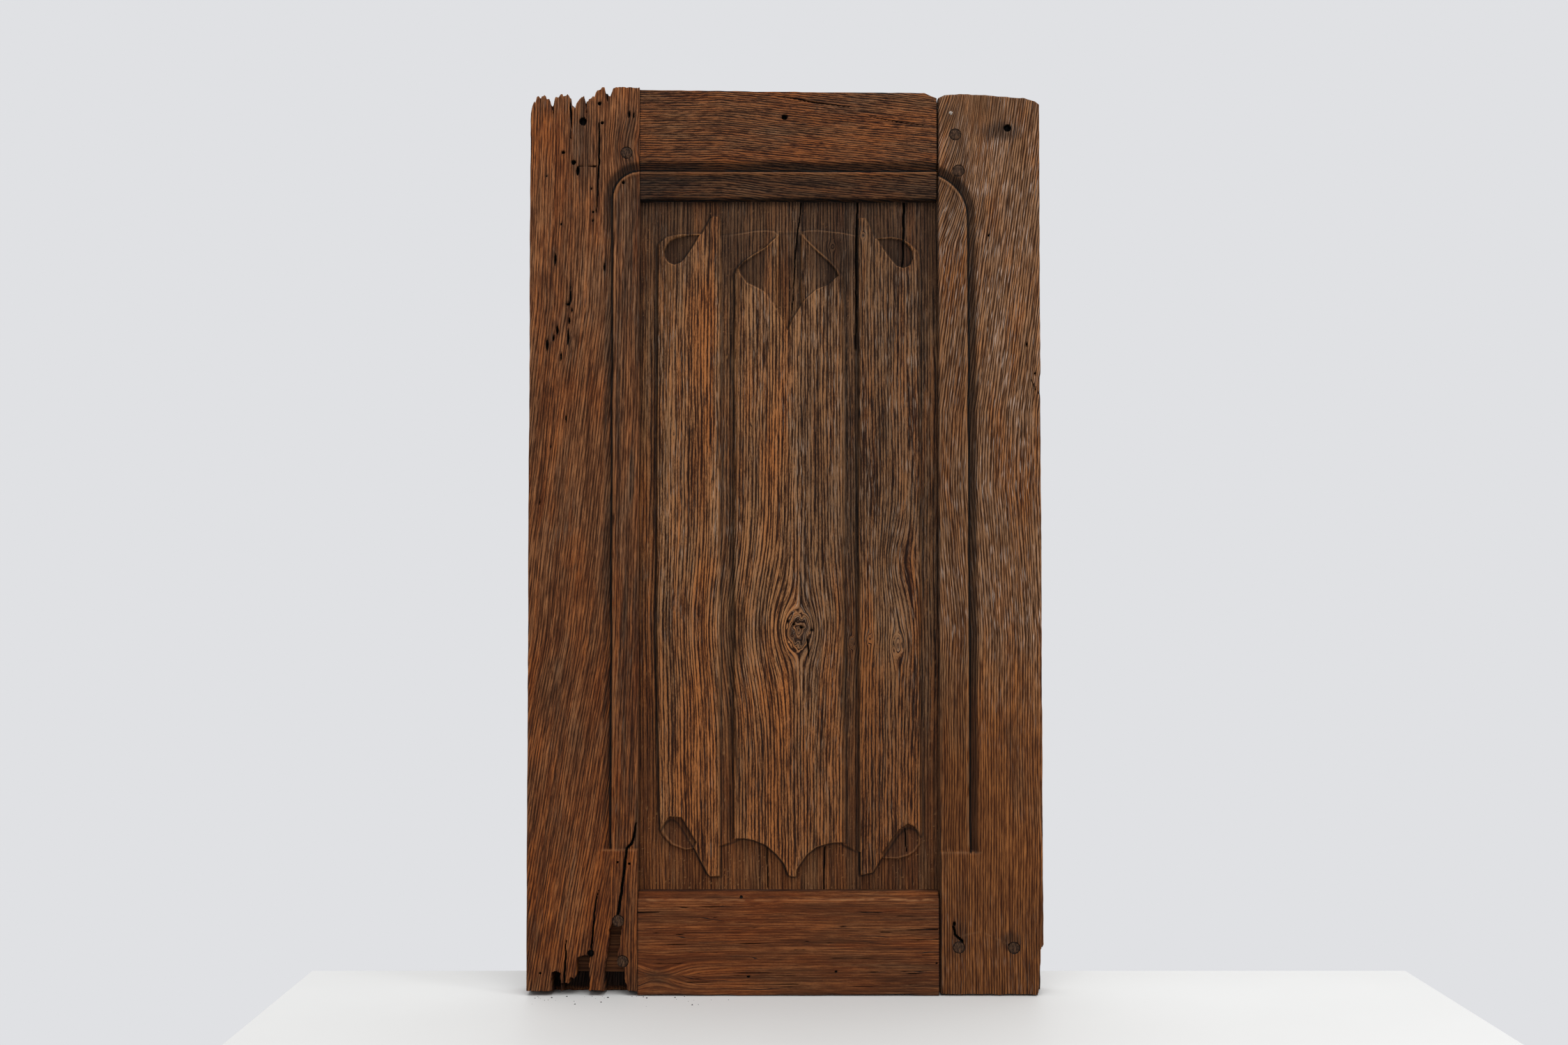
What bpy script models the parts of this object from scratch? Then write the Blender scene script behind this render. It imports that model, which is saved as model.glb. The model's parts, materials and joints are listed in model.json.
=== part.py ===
"""Oak frame with a carved linenfold panel, built as the joiner made it: two stiles, two rails
with tenons in mortises, a carved board in grooves, and wooden pegs through the joints.
The carved face looks towards -Y, +Z is up, the origin is under the middle of the frame."""

import math

import bmesh
import bpy
from mathutils import Matrix, Vector

MM = 0.001
WELD = 0.0001
NEAR = 0.01

# Whole frame. Every shape is worked in millimetres and scaled to metres when it is finished.
LEFT_EDGE = -239.0
RIGHT_EDGE = 239.0
FRAME_THICK = 36.0
HALF_THICK = FRAME_THICK / 2.0

# Fits between the pieces.
GAP = 0.3
OPEN_JOINT = 1.3
OVERCUT = 3.0

# Stiles and rails.
LEFT_SHOULDER = -136.3
RIGHT_SHOULDER = 143.7
RAIL_LEFT_END = LEFT_SHOULDER + GAP
RAIL_RIGHT_END = RIGHT_SHOULDER - OPEN_JOINT
TOP_RAIL_LOW = 739.4
TOP_RAIL_ARRIS = 741.7
BOTTOM_RAIL_FACE = 88.6
BOTTOM_RAIL_TOP = 95.6
LEFT_TOP = 846.4
RIGHT_TOP = 840.6
RAIL_TOP_LEFT = 844.2
RAIL_TOP_RIGHT = 841.4

# Panel board and its grooves, as depths behind the face of the frame.
GROUND_DEPTH = 13.5
EDGE_THICK = 7.4
BOARD_THICK = 11.0
TONGUE = 8.0
GROOVE_REACH = 9.0
BEVEL_RUN = 34.0
GROOVE_LAP = 1.0
GROOVE_FRONT = GROUND_DEPTH - GAP
GROOVE_BACK = GROUND_DEPTH + EDGE_THICK + GAP

# Tenons and pegs.
TENON_THICK = 9.6
TENON_LENGTH = 78.0
TENON_FRONT = GROUND_DEPTH - 0.7
TENON_BACK = TENON_FRONT + TENON_THICK
TOP_TENON = (752.0, 828.0)
BOTTOM_TENON = (19.7, 82.0)
TENON_ROOT = 5.0
MORTISE_END = 1.0
PEG_RADIUS = 5.2
PEG_TAPER = 0.35
PEG_SHY = 0.4
PEG_SIDES = 14
HOLE_SIDES = 14

# Run moulding: distance outwards from the wall of the bead, and depth.
GROOVE_WIDE = 9.3
GROOVE_DEEP = 4.8
BEAD_DEEP = 1.1
BEAD_WIDE = 3.8
SLOPE_START = 2.2
ARRIS_DEEP = 6.0
BEAD_TO_ARRIS = 24.6
MOULDING = (
    (GROOVE_WIDE, 0.0),
    (GROOVE_WIDE * 0.84, GROOVE_DEEP * 0.18),
    (GROOVE_WIDE * 0.62, GROOVE_DEEP * 0.48),
    (GROOVE_WIDE * 0.38, GROOVE_DEEP * 0.8),
    (GROOVE_WIDE * 0.14, GROOVE_DEEP * 0.98),
    (0.5, GROOVE_DEEP),
    (0.0, GROOVE_DEEP * 0.9),
    (-0.3, BEAD_DEEP * 1.3),
    (-BEAD_WIDE * 0.4, BEAD_DEEP * 0.85),
    (-BEAD_WIDE * 0.85, BEAD_DEEP * 1.2),
    (-BEAD_WIDE, SLOPE_START),
    (-BEAD_TO_ARRIS, ARRIS_DEEP),
)
RAIL_BEAD = TOP_RAIL_ARRIS + BEAD_TO_ARRIS
LEFT_ARC_CENTRE = (-135.2, 740.8)
LEFT_ARC_RADIUS = 25.8
RIGHT_ARC_CENTRE = (128.6, 723.0)
RIGHT_ARC_RADIUS = 42.3
LEFT_STOP = 133.5
RIGHT_STOP = 131.0
ARC_STEPS = 12

# Carved folds: how far each point of the cross-section stands above the ground.
LEFT_FOLD = (
    (-120.3, 0.0), (-119.0, 4.4), (-116.0, 6.0), (-108.0, 7.1), (-94.0, 7.0),
    (-78.0, 6.2), (-66.0, 5.5), (-61.8, 4.8), (-60.6, 3.0),
)
CENTRE_FOLD = (
    (-48.2, 0.2), (-46.7, 4.6), (-43.0, 5.9), (-30.0, 6.8), (-8.0, 7.1), (16.0, 6.9),
    (36.0, 6.3), (48.0, 5.9), (52.8, 5.2), (54.7, 3.0),
)
RIGHT_FOLD = (
    (68.2, 0.2), (69.8, 4.7), (73.0, 5.9), (84.0, 6.8), (98.0, 6.9), (112.0, 6.4),
    (121.0, 5.8), (125.4, 4.4), (127.0, 0.0),
)
LEFT_VALLEY = ((-61.5, 2.4), (-54.0, 1.7), (-50.0, 0.6), (-47.0, 0.5))
RIGHT_VALLEY = ((53.5, 2.2), (60.5, 1.6), (66.0, 0.5), (70.0, 0.4))
RIM_HIGH = 3.0

# Outlines of the folds from the front, x and height, starting at the upper tip.
LEFT_FOLD_OUTLINE = (
    (-69.0, 726.2), (-62.4, 726.2), (-60.0, 722.0), (-60.0, 107.6), (-70.2, 107.6), (-72.5, 110.6),
    (-79.1, 123.2), (-85.6, 136.0), (-92.1, 147.0), (-99.2, 157.6), (-103.0, 160.2), (-106.8, 160.9),
    (-111.0, 158.4), (-114.5, 154.0), (-118.0, 150.8), (-121.0, 148.4), (-121.0, 698.0),
    (-119.4, 700.4), (-112.2, 706.4), (-100.4, 708.8), (-78.8, 709.4),
)
LEFT_TOP_DISH = (
    (-79.4, 708.6), (-93.0, 707.6), (-102.0, 705.6), (-108.5, 702.8), (-112.2, 697.8), (-114.2, 692.2),
    (-113.2, 686.4), (-109.6, 681.4), (-104.6, 679.4), (-99.0, 681.0), (-95.1, 684.2), (-87.3, 695.3),
)
LEFT_TAIL = (
    (-84.9, 133.0), (-83.0, 138.0), (-96.0, 161.0), (-108.0, 165.0), (-118.6, 158.0), (-119.6, 150.0),
    (-114.6, 144.6), (-105.4, 136.2), (-92.6, 131.8),
)
LEFT_TAIL_DISH = (
    (-84.0, 134.4), (-82.0, 140.0), (-96.0, 163.0), (-108.0, 164.0), (-112.6, 158.0), (-113.6, 152.4),
    (-111.4, 145.6), (-104.4, 138.0), (-92.4, 133.2),
)
LEFT_VALLEY_OUTLINE = (
    (-62.0, 707.6), (-50.0, 708.8), (-39.5, 710.6), (-29.0, 712.4), (-17.9, 713.1), (-10.0, 712.2),
    (-6.6, 708.8), (-11.3, 703.4), (-29.0, 690.0), (-44.0, 678.0), (-44.0, 142.6), (-47.4, 140.0),
    (-58.8, 136.0), (-62.0, 135.6),
)
CENTRE_FOLD_OUTLINE = (
    (-6.6, 708.6), (-11.3, 703.7), (-17.9, 697.3), (-29.0, 690.7), (-39.5, 683.7), (-45.6, 676.6),
    (-50.0, 668.0), (-50.0, 140.6), (-44.4, 142.5), (-37.7, 142.8), (-29.6, 141.3), (-17.7, 136.4),
    (-8.0, 128.0), (-0.8, 119.3), (2.1, 111.3), (3.4, 108.2), (10.2, 107.4), (11.0, 114.0),
    (15.7, 121.2), (20.5, 128.0), (28.6, 134.4), (37.3, 137.3), (45.4, 138.9), (56.0, 138.9),
    (56.0, 668.0), (52.6, 671.6), (48.9, 676.9), (42.4, 684.1), (31.9, 693.4), (20.8, 703.9),
    (16.2, 709.6),
)
DIAMOND_LEFT = (
    (-7.6, 706.0), (-17.6, 696.0), (-28.6, 689.4), (-38.9, 682.4), (-44.2, 676.4), (-42.3, 671.2),
    (-36.2, 662.4), (-29.0, 659.1), (-19.8, 653.9), (-14.6, 647.3), (-6.6, 635.6), (-6.6, 705.0),
)
DIAMOND_RIGHT = (
    (16.6, 708.0), (20.4, 702.6), (31.5, 692.0), (41.8, 682.8), (47.9, 676.2), (50.6, 669.0),
    (47.9, 667.2), (41.7, 661.1), (29.3, 655.8), (18.8, 646.0), (16.4, 642.0), (16.4, 700.0),
)
DIAMOND_STRIP = (
    (-6.6, 712.0), (-6.6, 635.0), (-2.8, 628.9), (2.8, 617.1), (7.7, 628.9), (15.6, 641.4), (15.6, 712.0),
)
RIGHT_VALLEY_OUTLINE = (
    (15.6, 711.8), (22.6, 713.2), (33.9, 713.1), (50.3, 711.2), (65.3, 708.5), (70.6, 707.4),
    (70.6, 129.6), (65.2, 131.6), (55.5, 136.2), (52.0, 139.0), (52.0, 668.0), (48.0, 677.0),
    (31.0, 693.4), (20.8, 703.2),
)
RIGHT_FOLD_OUTLINE = (
    (67.4, 724.7), (75.8, 724.7), (85.0, 705.2), (100.1, 706.5), (111.2, 704.6), (118.4, 699.6),
    (124.9, 693.0), (127.6, 685.4), (127.6, 148.4), (126.7, 144.8), (122.8, 150.6), (115.7, 153.6),
    (110.9, 151.8), (104.7, 145.8), (98.8, 137.0), (90.0, 124.2), (82.0, 111.4), (71.0, 108.8),
    (70.0, 108.8), (70.0, 130.0), (67.4, 131.0),
)
RIGHT_TOP_DISH = (
    (86.2, 704.4), (99.8, 705.4), (110.0, 703.4), (116.6, 698.6), (120.4, 692.6), (121.0, 685.4),
    (117.6, 679.0), (111.6, 676.2), (105.0, 678.4), (100.0, 684.1), (91.5, 695.3),
)
RIGHT_TAIL = (
    (90.2, 124.0), (88.0, 128.0), (104.0, 150.0), (114.0, 158.0), (123.0, 156.0), (126.6, 150.0),
    (126.6, 138.0), (121.4, 130.2), (114.8, 126.2), (104.9, 123.6),
)
RIGHT_TAIL_DISH = (
    (91.8, 125.4), (90.0, 130.0), (105.0, 151.0), (114.0, 157.0), (121.0, 154.0), (124.6, 147.0),
    (124.4, 138.4), (119.8, 131.8), (114.2, 128.0), (104.6, 125.2),
)
DISH_FLOOR = 1.5
DISH_RISE = (1.2, 2.6)
TAIL_RISE = (2.6, 0.8)
FLAP_RISE = (1.2, 4.8)
STRIP_DEEP = 3.0
FOLD_RUN = (90.0, 745.0)
LEFT_FLAP_SPAN = (-44.2, -6.6)
RIGHT_FLAP_SPAN = (50.6, 16.4)

# Cracks in the board, as long thin wedges.
BOARD_CRACKS = (
    ((15.4, 745.0), (17.0, 745.0), (14.4, 723.0), (12.0, 708.0), (10.0, 677.0), (6.8, 634.4), (6.3, 634.4),
     (8.9, 677.0), (10.6, 708.0), (12.8, 723.0)),
    ((68.0, 745.0), (69.5, 745.0), (68.2, 726.6), (67.5, 726.6)),
    ((111.6, 745.0), (113.4, 745.0), (112.2, 706.0), (110.9, 678.2), (110.1, 678.2), (110.7, 706.0)),
)
CRACK_DEEP = 7.0

# Broken upper end of the left stile, from its outer edge to the rail.
BROKEN_TOP = (
    (-239.0, 819.0), (-237.6, 828.0), (-234.6, 834.2), (-231.4, 837.4), (-226.0, 838.2), (-220.6, 835.6),
    (-219.4, 831.6), (-217.6, 829.4), (-215.6, 836.0), (-211.4, 839.0), (-204.6, 840.8), (-200.6, 838.6),
    (-200.4, 827.6), (-197.6, 827.2), (-192.4, 835.0), (-188.4, 837.8), (-186.8, 832.2), (-182.6, 835.6),
    (-178.4, 838.6), (-174.2, 846.0), (-169.6, 846.4), (-166.8, 841.0), (-163.6, 838.4), (-161.2, 844.8),
    (-158.4, 846.2), (-136.3, 845.6),
)
RAIL_TOP_LINE = (
    (-60.0, RAIL_TOP_LEFT - 0.8), (20.0, RAIL_TOP_RIGHT + 0.8), (131.0, RAIL_TOP_RIGHT), (136.0, 838.8),
)
RAIL_CORNER = 836.4
RIGHT_TOP_LINE = (
    (143.7, 836.8), (149.6, 839.6), (164.6, 840.6), (184.2, 839.8), (213.6, 837.6), (225.6, 836.8),
    (234.6, 834.0), (239.0, 830.8),
)

# Decayed lower end of the left stile: missing wood of the front cheek, and the foot of each splinter.
LOST_SLIVER = ((-214.2, 21.4), (-211.0, 22.6), (-207.6, 20.2), (-207.2, -4.0), (-215.6, -4.0))
LOST_FIELD = (
    (-191.2, 35.4), (-185.0, 36.6), (-180.2, 36.0), (-180.6, 22.0), (-181.0, 4.8), (-166.6, 4.2),
    (-166.2, 22.6), (-163.6, 34.4), (-162.6, 49.4), (-161.4, 60.4), (-159.0, 67.0), (-151.0, 66.0),
    (-151.2, 60.0), (-152.8, 51.0), (-154.4, 37.5), (-152.6, 29.0), (-148.9, 24.4), (-148.6, 15.6),
    (-145.2, 5.4), (-145.2, -4.0), (-205.8, -4.0), (-205.6, 11.4), (-199.2, 10.8), (-197.6, 16.2),
    (-193.6, 15.4), (-192.2, 20.4),
)
LOST_CORE = (-214.4, -139.4)
FOOT_WEAR = ((0.0, 4.4), (11.0, 2.6), (20.0, 0.0))
SPLIT = (
    (-138.4, 157.4), (-137.4, 156.4), (-141.0, 146.4), (-142.6, 138.0), (-146.4, 134.6), (-149.0, 107.6),
    (-151.4, 91.8), (-153.0, 75.2), (-155.0, 75.4), (-153.4, 91.8), (-150.8, 107.8), (-148.2, 136.6),
    (-144.4, 139.6), (-142.4, 147.2),
)
SPLIT_DEEP = 9.0
CHIP_DEEP = 14.0
CORNER_LOSS_DEEP = 22.0
EDGE_CHIP = ((239.0, 576.6), (237.6, 573.0), (237.2, 561.0), (239.0, 556.4), (243.0, 556.4), (243.0, 576.6))
CORNER_LOSS = ((239.0, 47.0), (236.4, 43.0), (235.6, 20.0), (234.0, 4.0), (232.6, -4.0), (244.0, -4.0), (244.0, 47.0))

# Pegs: x, height, radius kept the same.
PEGS = (
    ("peg_top_left", -148.4, 783.8),
    ("peg_top_right_upper", 159.6, 801.0),
    ("peg_top_right_lower", 162.6, 766.8),
    ("peg_bottom_left_upper", -154.0, 68.6),
    ("peg_bottom_left_lower", -149.8, 31.6),
    ("peg_bottom_right_inner", 160.6, 44.4),
    ("peg_bottom_right_outer", 211.4, 44.0),
)

# Old nail holes: stile or rail, x, height, radius, depth.
NAIL_HOLES = (
    ("left_stile", -189.4, 813.4, 3.3, 17.0),
    ("left_stile", -179.2, 38.9, 2.9, 14.5),
    ("right_stile", 208.8, 807.2, 3.2, 15.0),
    ("top_rail", -0.4, 817.4, 2.3, 12.0),
)
NAIL_HOLE_SIDES = 10
NAIL_AT = (155.6, 821.4)
NAIL_HEAD_RADIUS = 1.9
NAIL_HEAD_THICK = 0.9
NAIL_SHANK_RADIUS = 1.1
NAIL_LENGTH = 12.0
NAIL_SIDES = 10


def clear_scene():
    for obj in list(bpy.data.objects):
        bpy.data.objects.remove(obj, do_unlink=True)


def new_collection(name, hidden=False):
    coll = bpy.data.collections.new(name)
    bpy.context.scene.collection.children.link(coll)
    coll.hide_render = hidden
    return coll


def mesh_object(name, mesh, coll):
    obj = bpy.data.objects.new(name, mesh)
    coll.objects.link(obj)
    return obj


def solid_from_outline(name, points, thickness, matrix):
    """Fill a closed outline, give it thickness about its own plane and place it."""
    curve = bpy.data.curves.new(name + "_outline", "CURVE")
    curve.dimensions = "2D"
    curve.fill_mode = "BOTH"
    curve.extrude = thickness / 2.0
    spline = curve.splines.new("POLY")
    spline.points.add(len(points) - 1)
    for point, (u, v) in zip(spline.points, points):
        point.co = (u, v, 0.0, 1.0)
    spline.use_cyclic_u = True
    source = bpy.data.objects.new(name + "_source", curve)
    cutters.objects.link(source)
    source.matrix_world = matrix
    bpy.context.view_layer.update()
    depsgraph = bpy.context.evaluated_depsgraph_get()
    mesh = bpy.data.meshes.new_from_object(source.evaluated_get(depsgraph))
    mesh.transform(matrix)
    bpy.data.objects.remove(source, do_unlink=True)
    bm = bmesh.new()
    bm.from_mesh(mesh)
    bmesh.ops.remove_doubles(bm, verts=bm.verts, dist=WELD)
    bmesh.ops.recalc_face_normals(bm, faces=bm.faces)
    bm.to_mesh(mesh)
    bm.free()
    mesh.name = name
    obj = mesh_object(name, mesh, cutters)
    obj.display_type = "WIRE"
    return obj


def front_solid(name, points, depth_from, depth_to):
    """Outline drawn as seen from the front (x, height), between two depths behind the face."""
    middle = (depth_from + depth_to) / 2.0 - HALF_THICK
    turn = Matrix.Translation(Vector((0.0, middle, 0.0))) @ Matrix.Rotation(math.pi / 2.0, 4, "X")
    return solid_from_outline(name, points, depth_to - depth_from, turn)


def upright_solid(name, points, low, high):
    """Section drawn in plan (x, depth behind the face), run between two heights."""
    placed = [(x, depth - HALF_THICK) for x, depth in points]
    middle = Matrix.Translation(Vector((0.0, 0.0, (low + high) / 2.0)))
    return solid_from_outline(name, placed, high - low, middle)


def level_solid(name, points, left, right):
    """Section drawn from the side (depth behind the face, height), run between two x places."""
    placed = [(depth - HALF_THICK, height) for depth, height in points]
    turn = Matrix(((0.0, 0.0, 1.0, 0.0), (1.0, 0.0, 0.0, 0.0), (0.0, 1.0, 0.0, 0.0), (0.0, 0.0, 0.0, 1.0)))
    shift = Matrix.Translation(Vector(((left + right) / 2.0, 0.0, 0.0)))
    return solid_from_outline(name, placed, right - left, shift @ turn)


def box(name, left, right, depth_from, depth_to, low, high):
    return front_solid(name, ((left, low), (right, low), (right, high), (left, high)), depth_from, depth_to)


def rod(name, x, height, radius_front, radius_back, depth_from, depth_to, sides):
    """Round bar that runs straight back from the face."""
    bm = bmesh.new()
    bmesh.ops.create_cone(
        bm, cap_ends=True, cap_tris=False, segments=sides,
        radius1=radius_front, radius2=radius_back, depth=depth_to - depth_from,
    )
    middle = (depth_from + depth_to) / 2.0 - HALF_THICK
    bm.transform(Matrix.Rotation(-math.pi / 2.0, 4, "X"))
    bm.transform(Matrix.Translation(Vector((x, middle, height))))
    mesh = bpy.data.meshes.new(name)
    bm.to_mesh(mesh)
    bm.free()
    obj = mesh_object(name, mesh, cutters)
    obj.display_type = "WIRE"
    return obj


def combine(target, others, operation):
    """Apply one exact boolean after another and bake the result into the target."""
    for other in others:
        modifier = target.modifiers.new(operation.lower(), "BOOLEAN")
        modifier.operation = operation
        modifier.solver = "EXACT"
        modifier.object = other
        bpy.context.view_layer.update()
        depsgraph = bpy.context.evaluated_depsgraph_get()
        mesh = bpy.data.meshes.new_from_object(target.evaluated_get(depsgraph))
        target.modifiers.remove(modifier)
        old = target.data
        target.data = mesh
        bpy.data.meshes.remove(old)
        bpy.data.objects.remove(other, do_unlink=True)
    return target


def cut(target, others):
    return combine(target, others, "DIFFERENCE")


def join(target, others):
    return combine(target, others, "UNION")


def keep_inside(target, others):
    return combine(target, others, "INTERSECT")


def moulding_sweep(name, side, centre, radius, stop):
    """Run moulding of a stile: straight up from its stop, then swung round the corner.

    The side is +1 where outwards is towards +x; the swing is about an axis that runs straight back.
    """
    section = [(radius + u, depth) for u, depth in MOULDING]
    section += [(0.0, ARRIS_DEEP), (0.0, -OVERCUT), (radius + GROOVE_WIDE, -OVERCUT)]
    bm = bmesh.new()
    verts = [bm.verts.new((side * r, depth - HALF_THICK, stop - centre[1])) for r, depth in section]
    first = bm.faces.new(verts)
    grown = bmesh.ops.extrude_face_region(bm, geom=[first])
    lifted = [item for item in grown["geom"] if isinstance(item, bmesh.types.BMVert)]
    bmesh.ops.translate(bm, verts=lifted, vec=(0.0, 0.0, centre[1] - stop))
    last = [item for item in grown["geom"] if isinstance(item, bmesh.types.BMFace)][0]
    bmesh.ops.spin(
        bm, geom=[last, *last.edges, *last.verts], cent=(0.0, 0.0, 0.0), axis=(0.0, -side, 0.0),
        angle=math.pi / 2.0, steps=ARC_STEPS, use_merge=False,
    )
    bmesh.ops.remove_doubles(bm, verts=bm.verts, dist=WELD)
    buried = [face for face in bm.faces if all(abs(vert.co.z) < WELD for vert in face.verts)]
    bmesh.ops.delete(bm, geom=buried, context="FACES")
    bmesh.ops.recalc_face_normals(bm, faces=bm.faces)
    bm.transform(Matrix.Translation(Vector((centre[0], 0.0, centre[1]))))
    mesh = bpy.data.meshes.new(name)
    bm.to_mesh(mesh)
    bm.free()
    obj = mesh_object(name, mesh, cutters)
    obj.display_type = "WIRE"
    return obj


def paint(obj, name, colour, roughness, metallic=0.0):
    material = bpy.data.materials.new(name)
    material.use_nodes = True
    shader = material.node_tree.nodes["Principled BSDF"]
    shader.inputs["Base Color"].default_value = (*colour, 1.0)
    shader.inputs["Roughness"].default_value = roughness
    shader.inputs["Metallic"].default_value = metallic
    obj.data.materials.clear()
    obj.data.materials.append(material)
    for polygon in obj.data.polygons:
        polygon.material_index = 0


def finish(obj, name, colour, roughness, metallic=0.0):
    obj.name = name
    obj.data.name = name
    obj.display_type = "TEXTURED"
    cutters.objects.unlink(obj)
    parts.objects.link(obj)
    obj.data.transform(Matrix.Scale(MM, 4))
    paint(obj, name + "_surface", colour, roughness, metallic)
    return obj


def mortise(name, side, shoulder, heights):
    """Slot for a tenon; side is the way the tenon points."""
    mouth = shoulder - side * OVERCUT
    end = shoulder + side * (TENON_LENGTH + MORTISE_END)
    return box(
        name, min(mouth, end), max(mouth, end), TENON_FRONT - GAP, TENON_BACK + GAP,
        heights[0] - GAP, heights[1] + GAP,
    )


def stile_cutters(side, shoulder, stop, centre, radius):
    """Cuts that both stiles share: panel groove, two mortises and the run moulding."""
    mouth = shoulder - side * OVERCUT
    bottom = shoulder + side * GROOVE_REACH
    groove = box(
        "panel_groove", min(mouth, bottom), max(mouth, bottom), GROOVE_FRONT, GROOVE_BACK,
        BOTTOM_TENON[1] - GROOVE_LAP, TOP_TENON[0] + GROOVE_LAP,
    )
    return [
        groove,
        mortise("upper_mortise", side, shoulder, TOP_TENON),
        mortise("lower_mortise", side, shoulder, BOTTOM_TENON),
        moulding_sweep("moulding", side, centre, radius, stop),
    ]


def peg_holes(x_from, x_to):
    holes = []
    for name, x, height in PEGS:
        if x_from < x < x_to:
            radius = PEG_RADIUS + GAP
            holes.append(rod(name + "_hole", x, height, radius, radius, -OVERCUT, FRAME_THICK + OVERCUT, HOLE_SIDES))
    return holes


def nail_holes(piece):
    holes = []
    for owner, x, height, radius, depth in NAIL_HOLES:
        if owner == piece:
            holes.append(rod("nail_hole", x, height, radius, radius * 0.7, -OVERCUT, depth, NAIL_HOLE_SIDES))
    return holes


def left_stile():
    outline = [(LEFT_SHOULDER, 0.0), (LEFT_EDGE, 0.0), *BROKEN_TOP]
    stile = front_solid("left_stile_blank", outline, 0.0, FRAME_THICK)
    cuts = stile_cutters(-1.0, LEFT_SHOULDER, LEFT_STOP, LEFT_ARC_CENTRE, LEFT_ARC_RADIUS)
    cuts += peg_holes(LEFT_EDGE, LEFT_SHOULDER)
    cuts += nail_holes("left_stile")
    cheek = TENON_FRONT - GAP / 2.0
    cuts.append(front_solid("lost_sliver", LOST_SLIVER, -OVERCUT, cheek))
    cuts.append(front_solid("lost_field", LOST_FIELD, -OVERCUT, cheek))
    cuts.append(box(
        "lost_core", LOST_CORE[0], LOST_CORE[1], cheek - GAP, TENON_BACK + GAP / 2.0,
        -OVERCUT, BOTTOM_TENON[0] + GROOVE_LAP,
    ))
    wear = [*FOOT_WEAR, (FOOT_WEAR[-1][0], -OVERCUT), (-OVERCUT, -OVERCUT), (-OVERCUT, FOOT_WEAR[0][1])]
    cuts.append(level_solid("foot_wear", wear, LEFT_EDGE - OVERCUT, LEFT_SHOULDER + OVERCUT))
    cuts.append(front_solid("split", SPLIT, -OVERCUT, SPLIT_DEEP))
    cut(stile, cuts)
    return finish(stile, "left_stile", (0.20, 0.085, 0.035), 0.62)


def right_stile():
    outline = [(RIGHT_SHOULDER, 0.0), *RIGHT_TOP_LINE, (RIGHT_EDGE, 0.0)]
    stile = front_solid("right_stile_blank", outline, 0.0, FRAME_THICK)
    cuts = stile_cutters(1.0, RIGHT_SHOULDER, RIGHT_STOP, RIGHT_ARC_CENTRE, RIGHT_ARC_RADIUS)
    cuts += peg_holes(RIGHT_SHOULDER, RIGHT_EDGE)
    cuts += nail_holes("right_stile")
    cuts.append(front_solid("edge_chip", EDGE_CHIP, -OVERCUT, CHIP_DEEP))
    cuts.append(front_solid("corner_loss", CORNER_LOSS, -OVERCUT, CORNER_LOSS_DEEP))
    x, height = NAIL_AT
    cuts.append(rod("nail_shank_hole", x, height, NAIL_SHANK_RADIUS + GAP, NAIL_SHANK_RADIUS + GAP,
                    -OVERCUT, NAIL_LENGTH + GAP, NAIL_SIDES))
    cuts.append(rod("nail_head_hole", x, height, NAIL_HEAD_RADIUS + GAP, NAIL_HEAD_RADIUS + GAP,
                    -OVERCUT, NAIL_HEAD_THICK + GAP, NAIL_SIDES))
    cut(stile, cuts)
    return finish(stile, "right_stile", (0.19, 0.10, 0.055), 0.64)


def tenons(heights):
    left = box(
        "left_tenon", LEFT_SHOULDER - TENON_LENGTH, RAIL_LEFT_END + TENON_ROOT, TENON_FRONT, TENON_BACK,
        heights[0], heights[1],
    )
    right = box(
        "right_tenon", RAIL_RIGHT_END - TENON_ROOT, RIGHT_SHOULDER + TENON_LENGTH, TENON_FRONT, TENON_BACK,
        heights[0], heights[1],
    )
    return [left, right]


def rail_peg_holes(low, high):
    holes = []
    for name, x, height in PEGS:
        if low < height < high:
            radius = PEG_RADIUS + GAP
            holes.append(rod(name + "_hole", x, height, radius, radius, -OVERCUT, FRAME_THICK + OVERCUT, HOLE_SIDES))
    return holes


def top_rail():
    section = [(0.0, LEFT_TOP)]
    section += [(depth, RAIL_BEAD + u) for u, depth in MOULDING]
    section += [
        (GROOVE_FRONT, TOP_RAIL_LOW),
        (GROOVE_FRONT, TOP_RAIL_LOW + GROOVE_REACH),
        (GROOVE_BACK, TOP_RAIL_LOW + GROOVE_REACH),
        (GROOVE_BACK, TOP_RAIL_LOW),
        (FRAME_THICK, TOP_RAIL_LOW),
        (FRAME_THICK, LEFT_TOP),
    ]
    rail = level_solid("top_rail_blank", section, RAIL_LEFT_END, RAIL_RIGHT_END)
    low = TOP_RAIL_LOW - OVERCUT
    outline = (
        (RAIL_LEFT_END - OVERCUT, low), (RAIL_LEFT_END - OVERCUT, RAIL_TOP_LEFT), *RAIL_TOP_LINE,
        (RAIL_RIGHT_END + OVERCUT, RAIL_CORNER), (RAIL_RIGHT_END + OVERCUT, low),
    )
    keep_inside(rail, [front_solid("rail_outline", outline, -OVERCUT, FRAME_THICK + OVERCUT)])
    join(rail, tenons(TOP_TENON))
    cut(rail, rail_peg_holes(TOP_RAIL_LOW, LEFT_TOP) + nail_holes("top_rail"))
    return finish(rail, "top_rail", (0.17, 0.085, 0.045), 0.64)


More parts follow.
